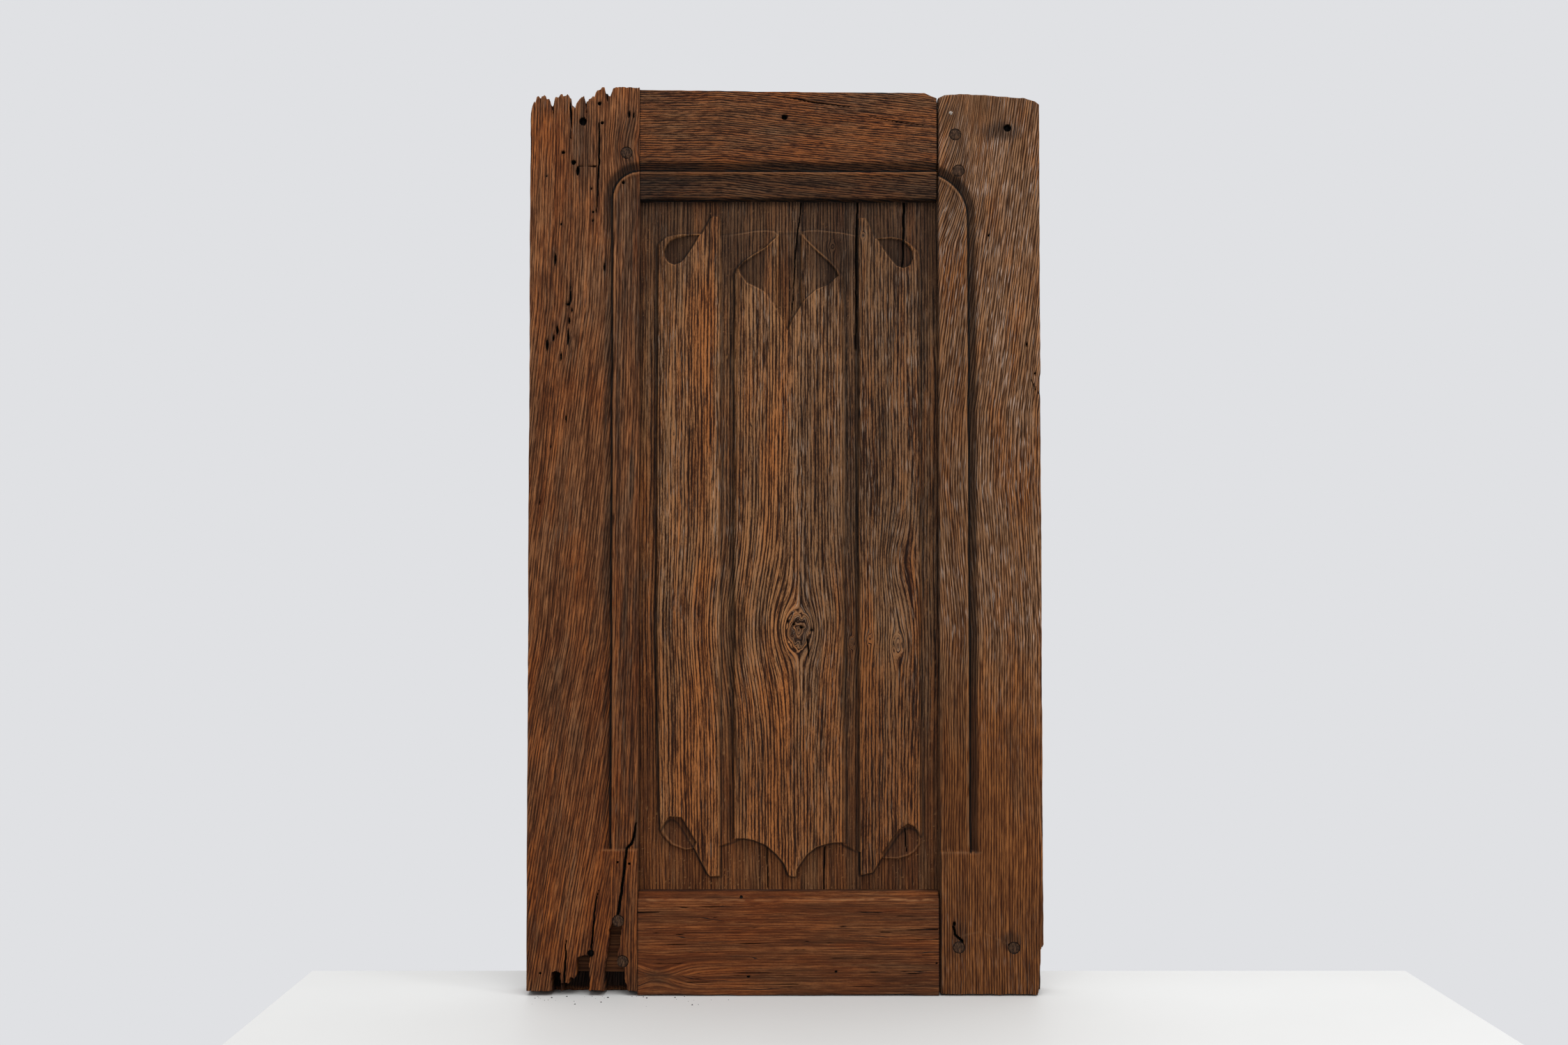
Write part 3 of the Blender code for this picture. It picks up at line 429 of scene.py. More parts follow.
def losses(x, z, holes, cracks):
    """Distance to the nearest hole or crack, and how deep its floor lies."""
    nearest = np.full(np.shape(x), 9.0)
    for hole in holes:
        nearest = np.minimum(nearest, from_hole(x + 0.25 * noise(z / 1.7, x / 1.7, 5), z, hole))
    for crack in cracks:
        nearest = np.minimum(nearest, from_line(x + 0.5 * noise(z / 5, x / 40, 9), z, crack))
    return nearest, 6 * smooth(-(nearest - 0.25) / 0.9)


def moulding(x, z, side, centre, radius, stop):
    """Depth of the run moulding of a stile and the distance outwards from the wall of its bead."""
    x = x + 0.35 * noise(z / 45, 0, 71) + 0.15 * noise(z / 9, 0, 72)
    turned = np.hypot(x - centre[0], z - centre[1]) - radius
    out = np.where(z > centre[1], turned, side * (x - centre[0]) - radius)
    runs = smooth((z - stop + 0.8 * noise(x / 6, 0, 73)) / 1.6)
    depth = read(MOULDING, out)
    return depth * runs, np.where(runs > 0.5, out, 99)


def pegged(x, z, pegs, depth, gap):
    """Sinks the wood under each peg and opens a fine ring around it."""
    for _, px, pz in pegs:
        ringed = np.hypot(x - px, z - pz) - PEG_RADIUS
        depth = np.where(ringed < -0.2, np.maximum(depth, 3), depth)
        gap = np.minimum(gap, np.abs(ringed + 0.1) - 0.4)
    return depth, gap


def dimmed(shade, *masks):
    """Shade made darker by each mask in turn, given with its strength."""
    for strength, mask in masks:
        shade = shade * (1 - strength * mask)
    return shade


def looks(ridge, gap, shade, worn, red, grey, calm=0):
    """Masks that the oak's nodes read."""
    return {
        "ridge": ridge, "gap": gap, "shade": shade, "worn": worn, "grey": np.clip(grey, 0, 1), "red": red,
        "calm": np.clip(calm, 0, 1),
    }


def linked(name, data):
    obj = bpy.data.objects.new(name, data)
    bpy.context.scene.collection.objects.link(obj)
    return obj


def built(name, places, faces, sharp=None):
    """New object from points in metres and faces, smooth below the angle given."""
    mesh = bpy.data.meshes.new(name)
    mesh.from_pydata(places, [], faces)
    obj = linked(name, mesh)
    if sharp:
        mesh.polygons.foreach_set("use_smooth", np.ones(len(faces), bool))
        mesh.set_sharp_from_angle(angle=math.radians(sharp))
    return obj


def painted(obj, grain, values):
    """Keeps the place across and along the grain and the masks on the mesh, for the oak's nodes."""
    add = obj.data.attributes.new
    add("grain", "FLOAT_VECTOR", "POINT").data.foreach_set("vector", grain.ravel())
    for key, value in values.items():
        add(key, "FLOAT", "POINT").data.foreach_set("value", value)
    return obj


def member(name, xs, zs, warp, shape, flow, levels, back, turned=False):
    """Closed piece of wood. Its front is a fine grid with a depth at each point. Rings of points run
    from the rim to the back, which is a coarser grid. shape gives the depth of the front and its masks,
    flow the place across and along the grain. turned is for a rail, whose grain runs along x."""
    flat_x, flat_z = np.meshgrid(xs, zs)
    front_x, front_z = warp(flat_x, flat_z, 0)
    depth, masks = shape(front_x, front_z)
    rows, cols = flat_x.shape
    index = np.arange(rows * cols).reshape(rows, cols)
    rim = np.concatenate([index[0, :-1], index[:-1, -1], index[-1, :0:-1], index[:0:-1, 0]])
    side = np.repeat([0, 1, 2, 3], [cols - 1, rows - 1, cols - 1, rows - 1])
    rim_x, rim_z, rim_depth = flat_x.ravel()[rim], flat_z.ravel()[rim], depth.ravel()[rim]
    away = np.array([(0, -1), (1, 0), (0, 1), (-1, 0)])[side]
    places = [np.stack([front_x.ravel(), depth.ravel(), front_z.ravel()], 1)]
    across, along = flow(front_x, front_z)
    grains = [np.stack([across.ravel(), along.ravel(), np.zeros(rows * cols)], 1)]
    rim_across, rim_along = across.ravel()[rim], along.ravel()[rim]
    flat_side = (side % 2 == 0) if turned else (side % 2 == 1)
    last = back(rim_x, rim_z)
    for number, (level, shift) in enumerate(levels):
        deep = np.clip(level, rim_depth + 0.15 + 0.05 * number, last - 0.15 - 0.05 * (len(levels) - number))
        x, z = warp(rim_x, rim_z, deep)
        step = shift(side, rim_x, rim_z) - 0.22 * (1 + noise(deep / 2.6, (rim_x + rim_z) / 14, 31))
        x, z = x + step * away[:, 0], z + step * away[:, 1]
        places.append(np.stack([x, deep, z], 1))
        grown = np.where(flat_side, deep, 0)
        run = np.where(flat_side, 0, deep * 5)
        grains.append(np.stack([rim_across + grown, rim_along + run, deep], 1))
    coarse_x, coarse_z = flat_x[::COARSE, ::COARSE], flat_z[::COARSE, ::COARSE]
    rest = back(coarse_x, coarse_z)
    x, z = warp(coarse_x, coarse_z, rest)
    places.append(np.stack([x.ravel(), rest.ravel(), z.ravel()], 1))
    across, along = flow(x, z)
    grains.append(np.stack([across.ravel() + 311, along.ravel() + 77, rest.ravel()], 1))

    quads = np.stack([index[:-1, :-1], index[:-1, 1:], index[1:, 1:], index[1:, :-1]], -1).reshape(-1, 4)
    faces = [quads]
    ring, count = rim, len(rim)
    for number in range(len(levels)):
        deeper = rows * cols + number * count + np.arange(count)
        faces.append(np.stack([ring, deeper, np.roll(deeper, -1), np.roll(ring, -1)], 1))
        ring = deeper
    high, wide = coarse_x.shape
    rear = rows * cols + len(levels) * count + np.arange(high * wide).reshape(high, wide)
    faces.append(np.stack([rear[:-1, :-1], rear[1:, :-1], rear[1:, 1:], rear[:-1, 1:]], -1).reshape(-1, 4))
    border = np.concatenate([rear[0, :-1], rear[:-1, -1], rear[-1, :0:-1], rear[:0:-1, 0]])
    ringed = np.append(ring, ring[0])
    fans = [
        (ringed[COARSE * i], border[i], border[(i + 1) % len(border)],
         *ringed[COARSE * (i + 1):COARSE * i:-1])
        for i in range(len(border))
    ]
    place = np.concatenate(places)
    place[:, 1] -= HALF
    faces = [face for group in faces for face in group.tolist()] + [[int(i) for i in fan] for fan in fans]
    seen, grain = rows * cols, np.concatenate(grains)
    values = {}
    for key, mask in masks.items():
        values[key] = np.full(len(place), UNSEEN.get(key, 0), float)
        values[key][:seen] = np.broadcast_to(mask, (rows, cols)).ravel()
    behind = grain[seen:]
    values["ridge"][seen:] = ridges(behind[:, 0] + behind[:, 2] * 0.5, behind[:, 1], 91)
    # The rails' tenon ends, seen in the decayed hollows, get painted shade.
    if turned:
        values["shade"][seen:][np.abs(place[seen:, 0] - 0.5 * (RAIL_LEFT + RAIL_RIGHT)) > TENON_STARTS] = 0.3
    return painted(built(name, (place * MM).tolist(), faces, 62), grain, values)


def no_shift(_, x, __):
    return np.zeros(np.shape(x))


def groove_in(which, low=-1e9, high=1e9):
    """Panel groove: pushes the rim inwards on one side of a piece."""
    return lambda side, x, z: np.where((side == which) & (z > low) & (z < high), -GROOVE_REACH, 0)


def ring_levels(shift, tenon=None):
    """Depths of the rings from face to back, with the shift of the rim at each."""
    held = tenon or no_shift

    def both(*place):
        return shift(*place) + held(*place)

    levels = [(deep, no_shift) for deep in (1.2, 3.5, 7, 11)]
    if tenon:
        levels += [(12.8, no_shift), (12.81, held)]
    levels += [(GROOVE_FRONT, held), (GROOVE_FRONT + 0.01, both)]
    levels += [(GROOVE_BACK, both), (GROOVE_BACK + 0.01, held)]
    if tenon:
        levels += [(22.4, held), (22.41, no_shift)]
    return levels + [(deep, no_shift) for deep in (27, 31.5, 34.8)]


def tenon_out(heights):
    """Tenon of a rail: pushes both ends of the rim outwards between two heights."""
    low, high = heights
    return lambda side, x, z: np.where((side % 2 == 1) & (z > low) & (z < high), TENON_LONG, 0)


def raised(z, start, end, top):
    """Spreads the heights above start so that end comes to lie at top."""
    return np.where(z > start, start + (z - start) * (top - start) / (end - start), z)


def lifted(z, foot, low):
    """Squeezes the heights below foot so that the lower edge comes to lie at low."""
    return np.where(z < foot, low + z * (foot - low) / foot, z)


def rail_ends(x):
    """Shadow where a rail meets the stiles."""
    return np.clip(smooth(1.2 - (x - RAIL_LEFT) / 0.8) + smooth(1.2 - (RAIL_RIGHT - x)), 0, 1)


def edge_wear(distance, seed_along, seed, size=1):
    """Rounding of an arris: extra depth that fades within a couple of millimetres, uneven along it."""
    reach = size * (1.5 + 0.9 * noise(seed_along / 17, 0, seed) + 0.5 * noise(seed_along / 4.5, 3, seed))
    return 1.1 * size * smooth(1 - distance / np.maximum(reach, 0.3)) ** 1.5


def flat_back(x, z):
    """Hewn back of a stile or rail."""
    return THICK - 0.55 - 0.4 * noise(x / 28, z / 60, 301) - 0.14 * noise(x / 5, z / 40, 302)


# Left stile.

def left_warp(x, z, depth):
    edge = smooth(1 - (x - LEFT_EDGE) / 7)
    x = x + edge * (0.45 + 0.3 * noise(z / 60, 0, 11) + 0.2 * noise(z / 11, depth / 8, 12))
    split = 0.4 + 1.7 * past(x, -160, -8)
    top = read(BROKEN_TOP, x) - split * (0.8 + noise(x / 1.2, depth / 3, 13))
    sunk = smooth(depth / 14)
    top = top - sunk * (3.5 + 3 * noise(x / 7, depth / 6, 14) + 1.5 * noise(x / 2.2, depth / 4, 15))
    top = np.minimum(top, TALLEST)
    low = read(FOOT_WEAR, depth) + 0.5 * (1 + noise(x / 3, depth / 5, 16))
    return x, lifted(raised(z, 790, TALLEST, top), 26, low)


def left_flow(x, z):
    lean = 3.5 * noise(x / 190, z / 330, 21) + 0.9 * noise(x / 45, z / 80, 22)
    knot = 5 * np.exp(-((x + 149) / 14) ** 2 - ((z - 790) / 22) ** 2)
    leaning = np.interp(z, (0, 330, 640, 720), (96, 38, 3, 0))
    across = x + lean + knot + np.where(x < LEFT_ARC[0] - LEFT_RADIUS, leaning, 0.25 * leaning)
    return across, staggered(x, z, 23)


def left_shape(x, z):
    depth, out = moulding(x, z, -1, LEFT_ARC, LEFT_RADIUS, LEFT_STOP)
    across, along = left_flow(x, z)
    ridge = ridges(across, along, 41)
    rough = 0.28 + 0.16 * past(out, 8, 3)
    depth = depth + SKIN + rough * (1 - ridge) + 0.12 * noise(x / 12, z / 30, 43)
    depth += edge_wear(x - LEFT_EDGE, z, 44) + 0.7 * edge_wear(LEFT_SHOULDER - x, z, 45, 0.6)
    gap, hollow = losses(x, z, LEFT_HOLES, LEFT_CRACKS)
    ragged = 0.5 * noise(x / 1.5, z / 3, 46) + 0.6 * noise(x / 3, z / 9, 47)
    lost = np.maximum(inside(x, z, LOST_SLIVER), inside(x, z, LOST_FIELD)) + ragged
    cheek = LOST_DEEP + 0.2 * noise(x / 3, z / 9, 48)
    depth = np.maximum(depth + hollow, cheek * past(lost, -0.35, 0.7))
    depth, gap = pegged(x, z, PEGS[0:1] + PEGS[3:5], depth, gap)
    stain = np.maximum(
        stains(x, z, LEFT_STAINS), stains(x, z, LEFT_MOTTLES, 0.6 + 0.8 * noise(x / 4, z / 9, 58)))
    stain = np.maximum(stain, 0.7 * smooth(1 - from_line(x, z, LEFT_CRACKS[0]) / 5))
    stain = np.maximum(stain, 0.7 * smooth(1 - gap / 3) * past(z, 560, 60))
    foot = past(z, 60, -60)
    patchy = layered(x / 18, z / 45, 49)
    # The groove gets painted shade with grime, stronger around its turn at the top.
    carved, bead, arris, slope, groove = carved_line(out, 0.35 + 0.3 * past(z, 700, 40))
    carved = carved * (1 + 0.45 * slope * noise(x / 2.4, z / 70, 57))
    lit = 0.94 + 0.17 * past(z, 300, 350)
    shade = (lit - 0.5 * stain - 0.18 * foot + 0.18 * patchy) * carved * (1 - 0.07 * slope)
    patch = slope * near(z - 690, 60, 1.4) * smooth(0.6 + noise(x / 5, z / 30, 54))
    joint = smooth(1 - (LEFT_SHOULDER - x) / 1.2)
    # Painted shade in the decayed hollow at the foot, besides a stain on the slope and a dark joint.
    shade = dimmed(shade, (0.86, past(lost, -1.2, 1.8)), (0.3, patch), (0.35, joint))
    stop = near(z - LEFT_STOP, 1, 1.2) * past(x, -172, 4)
    splinter = smooth(1 - (read(BROKEN_TOP, x) - z) / 3.5) * past(x, -160, -6)
    # Pale marks: wear on the edges and the broken top, and a painted highlight along the bead.
    worn = 0.7 * edge_wear(x - LEFT_EDGE, z, 44) + 0.65 * bead * smooth(0.8 + noise(z / 11, 0, 50))
    worn = worn + 0.5 * arris * smooth(0.5 + noise(z / 21, 4, 51)) + 0.5 * stop + 0.6 * splinter
    worn = worn + 0.25 * near(out - 9, 1) * smooth(0.4 + noise(z / 16, 8, 55))
    red = 0.3 + layered(x / 22, z / 80, 52) + 0.5 * past(z, 420, -300) - 0.3 * slope
    grey = 0.5 * stain + 0.3 * past(z, 520, 200) + 0.5 * patch + 0.6 * bead
    grey = grey + 0.8 * layered(x / 14, z / 60, 56)
    grey = grey + 0.9 * slope * smooth(0.5 + 1.4 * noise(x / 6, z / 60, 53)) + 0.5 * groove
    return depth, looks(ridge, gap, shade, worn, red, grey)


# Right stile.

def right_warp(x, z, depth):
    edge = smooth(1 - (RIGHT_EDGE - x) / 7)
    x = x - edge * (0.45 + 0.3 * noise(z / 60, 5, 61) + 0.2 * noise(z / 9, depth / 8, 62))
    top = read(RIGHT_TOP_LINE, x) - 0.35 * (1 + noise(x / 4, depth / 4, 63))
    top = top - 1.6 * smooth(1 - depth / 3) - past(depth, 30, 5)
    low = 0.8 * (1 + noise(x / 9, depth / 9, 64)) + 0.8 * smooth(1 - depth / 3)
    return x, lifted(raised(z, 800, RIGHT_TALL, top), 20, low)


def right_flow(x, z):
    lean = 3 * noise(x / 160, z / 300, 65) + 0.8 * noise(x / 40, z / 70, 66)
    slant = np.interp(z, (0, 330, 470, 540, 700, TALLEST), (0, 2, -7, -5, 15, 35))
    slant = slant + 0.22 * np.maximum(z - 700, 0) * past(x, 196, -40)
    return x + lean - slant, staggered(x, z, 67)


def right_shape(x, z):
    depth, out = moulding(x, z, 1, RIGHT_ARC, RIGHT_RADIUS, RIGHT_STOP)
    across, along = right_flow(x, z)
    ridge = ridges(across, along * 1.3, 75)
    rough = 0.28 + 0.2 * past(out, 8, 3) * past(z, 150, 200)
    depth = depth + SKIN + rough * (1 - ridge) + 0.12 * noise(x / 12, z / 30, 76)
    depth += edge_wear(RIGHT_EDGE - x, z, 77) + 0.7 * edge_wear(x - RIGHT_SHOULDER, z, 78, 0.6)
    gap, hollow = losses(x, z, RIGHT_HOLES, RIGHT_CRACKS)
    depth = depth + hollow
    chip = inside(x, z, EDGE_CHIP) + 0.5 * noise(x / 2, z / 3, 79)
    depth = depth + 4 * past(chip, -0.3, 2.5)
    corner = inside(x, z, CORNER_LOSS) + 0.3 * noise(x / 2, z / 5, 80)
    depth = np.maximum(depth, 22 * past(corner, -0.4, 0.8))
    depth, gap = pegged(x, z, PEGS[1:3] + PEGS[5:7], depth, gap)
    stain = stains(x, z, RIGHT_STAINS)
    scratch = from_line(x, z, RIGHT_SCRATCH)
    patchy = layered(x / 24, z / 50, 81)
    # The groove gets painted shade with grime.
    carved, bead, _, slope, groove = carved_line(out, 0.65)
    weathered = past(z, 190, 190)
    shade = (0.95 - 0.5 * stain - 0.12 * past(z, 120, -40) + 0.12 * patchy) * carved
    joint = smooth(1.3 - (x - RIGHT_SHOULDER) / 1.2)
    # Painted shade in the lost corner at the foot, and a dark joint by the board.
    shade = dimmed(
        shade * (1 + 0.04 * slope), (0.06, 1 - weathered), (0.45, past(corner, -1, 1.5)), (0.8, joint))
    stop = near(z - RIGHT_STOP, 1, 1.2) * past(x, 184, -4)
    # Pale marks: wear on the edges, a scratch, and a painted highlight along the bead.
    worn = 0.7 * edge_wear(RIGHT_EDGE - x, z, 77) + 0.6 * bead * smooth(0.8 + noise(z / 11, 0, 82))
    worn = worn + 0.35 * smooth(1.2 - scratch / 0.5) * smooth(0.8 + noise(x / 3, z / 3, 83)) + 0.4 * stop
    worn = worn + 0.3 * near(x - RIGHT_SHOULDER - 2.2, 1, 1.4) * smooth(0.6 + noise(z / 14, 5, 86))
    red = 1.4 - 1.2 * weathered + 0.9 * layered(x / 18, z / 60, 84) + 0.6 * bead
    shade = shade * (0.95 + 0.05 * weathered)
    high = past(z, 790, 30)
    grey = (0.3 + 0.5 * weathered) * layered(x / 20, z / 60, 85) + 0.6 * weathered * (1 - 0.5 * high)
    grey = grey + 0.3 * stain + 0.3 * past(z, 110, -60)
    calm = 0.55 * (1 - weathered) + 0.4 * high + 0.5 * groove
    return depth, looks(ridge, gap, shade, worn, red, grey, calm)


# Rails.

def top_rail_warp(x, z, depth):
    top = read(RAIL_TOP_LINE, x) - 0.3 * (1 + noise(x / 9, depth / 5, 101))
    return x, raised(z, 800, RAIL_TALL, top - smooth(1 - depth / 2.5))


def top_rail_flow(x, z):
    lean = 2.5 * noise(x / 210, z / 120, 102) + 0.7 * noise(x / 50, z / 30, 103)
    return z + lean + 0.1 * np.maximum(x + 60, 0), 1.6 * staggered(z, x, 115)


def top_rail_shape(x, z):
    out = z - RAIL_BEAD + 0.3 * noise(x / 50, 0, 104)
    across, along = top_rail_flow(x, z)
    ridge = ridges(across, along, 105)
    depth = read(MOULDING, out) + SKIN + 0.34 * (1 - ridge)
    depth += 0.15 * noise(x / 26, z / 9, 106)
    arris = z - TOP_ARRIS + 0.5 * noise(x / 12, 0, 107)
    depth = depth + 7.2 * smooth(-arris / 2) + 0.8 * near(arris, 1.6, 1)
    gap, hollow = losses(x, z, TOP_RAIL_HOLES, TOP_RAIL_CRACKS)
    depth = depth + hollow
    depth += 0.6 * edge_wear(x - RAIL_LEFT, z, 108, 0.6) + 0.8 * edge_wear(RAIL_RIGHT - x, z, 109, 0.8)
    patchy = layered(x / 45, z / 10, 110)
    corner = past(x, -60, -60) * past(z, 800, -30)
    # Painted shade with grime in the groove, and painted shade on the slope of the moulding, which faces
    # down.
    carved, bead, _, slope, groove = carved_line(out, 0.6)
    shade = (0.76 - 0.22 * slope + 0.16 * patchy - 0.2 * corner) * carved
    # Painted shadow below the lower arris, where the rail overhangs the board; darker cracks; painted shadow
    # at the ends.
    shade = dimmed(
        shade, (0.75, past(arris, 1, -1.6)), (0.5, smooth(1 - gap / 1.6)), (0.6, rail_ends(x)))
    # Pale marks: wear along the lower arris, and a painted highlight along the bead.
    worn = 0.6 * bead * smooth(0.7 + noise(x / 16, 0, 111))
    worn = worn + 0.85 * near(arris - 1.9, 1) * smooth(0.2 + 1.3 * noise(x / 5, 2, 112))
    red = 0.75 + 0.9 * layered(x / 70, z / 12, 113) + 0.3 * bead - 0.3 * slope
    grey = 0.3 * slope + 0.5 * smooth(layered(x / 50, z / 14, 114) * 2) + 0.5 * corner + 0.4 * groove
    return depth, looks(ridge, gap, shade, worn, red, grey)


def bottom_rail_warp(x, z, depth):
    return x, lifted(z, 20, 0.6 * (1 + noise(x / 14, depth / 9, 121)) + 0.9 * smooth(1 - depth / 2.5))


def bottom_rail_flow(x, z):
    lean = 2.2 * noise(x / 190, z / 110, 122) + 0.6 * noise(x / 45, z / 26, 123)
    pull = ((x + 117) / 26) ** 2 + ((z - 19) / 13) ** 2
    return z + lean + 9 * np.exp(-pull) * np.sign(z - 19), staggered(z, x, 135)


def hair_cracks(count):
    """Fine drying cracks along the bottom rail."""
    cracks = []
    for number in range(count):
        place, height, length, wide = picks(number, range(3, 7), 129)
        start, height, length = -134 + 258 * place, 7 + 76 * height, 12 + 50 * length ** 2
        middle = (start + 0.4 * length, height + 0.4, 0.08 + 0.17 * wide)
        cracks.append(((start, height, 0.02), middle, (start + length, height, 0)))
    return tuple(cracks)


def bottom_rail_shape(x, z):
    across, along = bottom_rail_flow(x, z)
    ridge = ridges(across, along * 1.3, 125)
    depth = SKIN + 0.2 * (1 - ridge) + 0.1 * noise(x / 26, z / 9, 126)
    rise = z - BOTTOM_FACE + 0.5 * noise(x / 30, 0, 127) + 0.3 * noise(x / 6, 1, 128)
    depth = depth + np.interp(rise, (-2, 0, 1, BOTTOM_TOP - BOTTOM_FACE), (0, 0.8, 2.6, 12.9))
    gap, hollow = losses(x, z, BOTTOM_RAIL_HOLES, hair_cracks(44) + BOTTOM_RAIL_CRACKS)
    depth = depth + 0.5 * hollow
    depth += 0.6 * edge_wear(x - RAIL_LEFT, z, 130, 0.5) + 0.7 * edge_wear(RAIL_RIGHT - x, z, 131, 0.6)
    knot = smooth(1 - from_hole(x, z, (-117, 19, 5, 4)) / 7)
    patchy = layered(x / 50, z / 14, 132)
    shade = 1 + 0.15 * patchy - 0.3 * knot - 0.2 * past(x, 60, 50) * past(z, 60, -40)
    # The chamfer, which faces up, gets painted light; the ends get painted shadow where the rail meets the
    # stiles.
    chamfer = past(rise, -1, 2)
    shade = dimmed(
        shade * (1 + 0.1 * chamfer), (0.75, smooth(1.4 - (BOTTOM_TOP - z) / 1.4)),
        (0.3, near(rise - 2, 1.2, 1.2)), (0.35, smooth(1 - z / 5)), (0.6, rail_ends(x)))
    # Pale, uneven line along the foot of the chamfer: wear and painted highlight.
    edge_wear_and_highlight = 0.35 + 0.7 * smooth(layered(x / 16, z / 2, 133) + 0.4 * smooth(x / 60))
    worn = edge_wear_and_highlight * near(rise + 0.6, 0.9, 1.4) * smooth(0.7 + 1.2 * noise(x / 5, z / 1.5, 136))
    red = 0.7 + 0.9 * layered(x / 70, z / 18, 134) - 0.2 * chamfer
    return depth, looks(ridge, gap, shade, worn, red, 0.4 * knot + 0.6 * layered(x / 60, z / 9, 137))


# Board with the carved folds.

BOARD_LEFT, BOARD_RIGHT = LEFT_SHOULDER - TONGUE, RIGHT_SHOULDER + TONGUE
BOARD_LOW, BOARD_HIGH = BOTTOM_TOP - TONGUE, TOP_LOW + TONGUE
BOARD_KNOTS = (
    (13.4, 336, 11, 1.7), (62.8, 324.7, 3, 1.7), (79.1, 328.2, 2.4, 1.6), (105.4, 322, 5, 2.2),
    (44.8, 697.3, 2.4, 1.4), (73.6, 707.2, 2, 1.4), (-104, 520, 1.3, 3),
)


def board_flow(x, z):
    across = x + 1.4 * noise(x / 80, z / 190, 201) + 0.5 * noise(x / 24, z / 44, 202)
    for size, high, one, one_width, other, other_width in (
        (9, 62, 14, -30, -150, 120), (-3, 50, 18, 30, 110, -60),
    ):
        bent = size * np.exp(-((z - 340) / high) ** 2)
        across = across + bent * past(x, one, one_width) * past(x, other, other_width)
    across = across + 9 * np.exp(-((x - 104) / 15) ** 2 - ((z - 400) / 36) ** 2)
    for kx, kz, size, stretch in BOARD_KNOTS:
        dx, dz = x - kx, (z - kz) / stretch
        away = np.hypot(dx, dz)
        outside = across - dx * size * size / np.maximum(away, size) ** 2
        centre = kx + 1.2 * (away - size)
        beyond = smooth((away - 0.75 * size) / (0.5 * size))
        across = centre + 0.3 * size * noise(x / 3.1, z / 4.3, 222) * (1 - beyond)
        across = across + (outside - centre) * beyond
    return across, staggered(x, z, 223)


def board_rise(x, z):
    """Height of the carving, and how far each place lies inside the nearest carved edge and a hollow."""
    rise = np.zeros(np.shape(x))
    rim, hollow = np.full(np.shape(x), 9.0), np.full(np.shape(x), -9.0)
    wavy = x + 0.3 * noise(z / 45, x / 40, 203) + 0.12 * noise(z / 8, x / 9, 204)
    for profile, outline, soft in (
        (LEFT_VALLEY, LEFT_VALLEY_OUTLINE, 1), (RIGHT_VALLEY, RIGHT_VALLEY_OUTLINE, 1),
        (LEFT_FOLD, LEFT_FOLD_OUTLINE, 1.5), (CENTRE_FOLD, CENTRE_FOLD_OUTLINE, 1.5),
        (RIGHT_FOLD, RIGHT_FOLD_OUTLINE, 1.5),
    ):
        within = inside(wavy, z, outline)
        rim = np.where(np.abs(within) < np.abs(rim), within, rim)
        spans = (wavy > profile[0][0]) & (wavy < profile[-1][0])
        soft = soft * (1 + 0.8 * past(z, 640, 20))
        height = read(profile, wavy) * smooth((within + 0.3 * soft) / soft) * spans
        rise = np.maximum(rise, height)
    for outline in (LEFT_TAIL, RIGHT_TAIL):
        within = inside(wavy, z, outline)
        rise = np.maximum(rise, 3 * past(within, -0.4, 1.3))
    for outline, low, high, axis in (
        (LEFT_TOP_DISH, 1.2, 2.6, 1), (RIGHT_TOP_DISH, 1.2, 2.6, 1),
        (LEFT_TAIL_DISH, 2.6, 0.8, 1), (RIGHT_TAIL_DISH, 2.6, 0.8, 1),
        (DIAMOND_LEFT, 1.2, 4.8, 0), (DIAMOND_RIGHT[::-1], 4.8, 1.2, 0), (DIAMOND_STRIP, 0, 0, 0),
    ):
        reach = [corner[axis] for corner in outline]
        part = np.clip(((x, z)[axis] - min(reach)) / (max(reach) - min(reach)), 0, 1)
        within = inside(wavy, z, outline)
        hollow = np.maximum(hollow, within)
        floor = rise + (low + (high - low) * part - rise) * past(within, -0.45, 1.4)
        rise = np.where(within > -0.5, np.minimum(rise, floor), rise)
    return rise, rim, hollow


# Weathering across the board: x, how grey, how red.
BOARD_BANDS = (
    (-136, 0.2, 0.5), (-121, 0.5, 0.3), (-112, 0.5, 0.3), (-95, 0.3, 0.5), (-88, 0.1, 0.9),
    (-70, 0.2, 1), (-62, 0.7, 0), (-50, 0.6, 0.1), (-44, 0.5, 0.1), (-26, 0.4, 0.1),
    (-14, 0.1, 0.5), (2, 0.2, 0.5), (10, 0.6, 0), (26, 0.5, 0), (50, 0.4, 0.2),
    (58, 0.8, -0.2), (67, 0.7, 0), (72, 0.4, 0.6), (90, 0.6, 0.1), (110, 0.4, 0.2),
    (124, 0.5, 0.4), (128, 0.6, 0), (143, 0.3, 0.3),
)


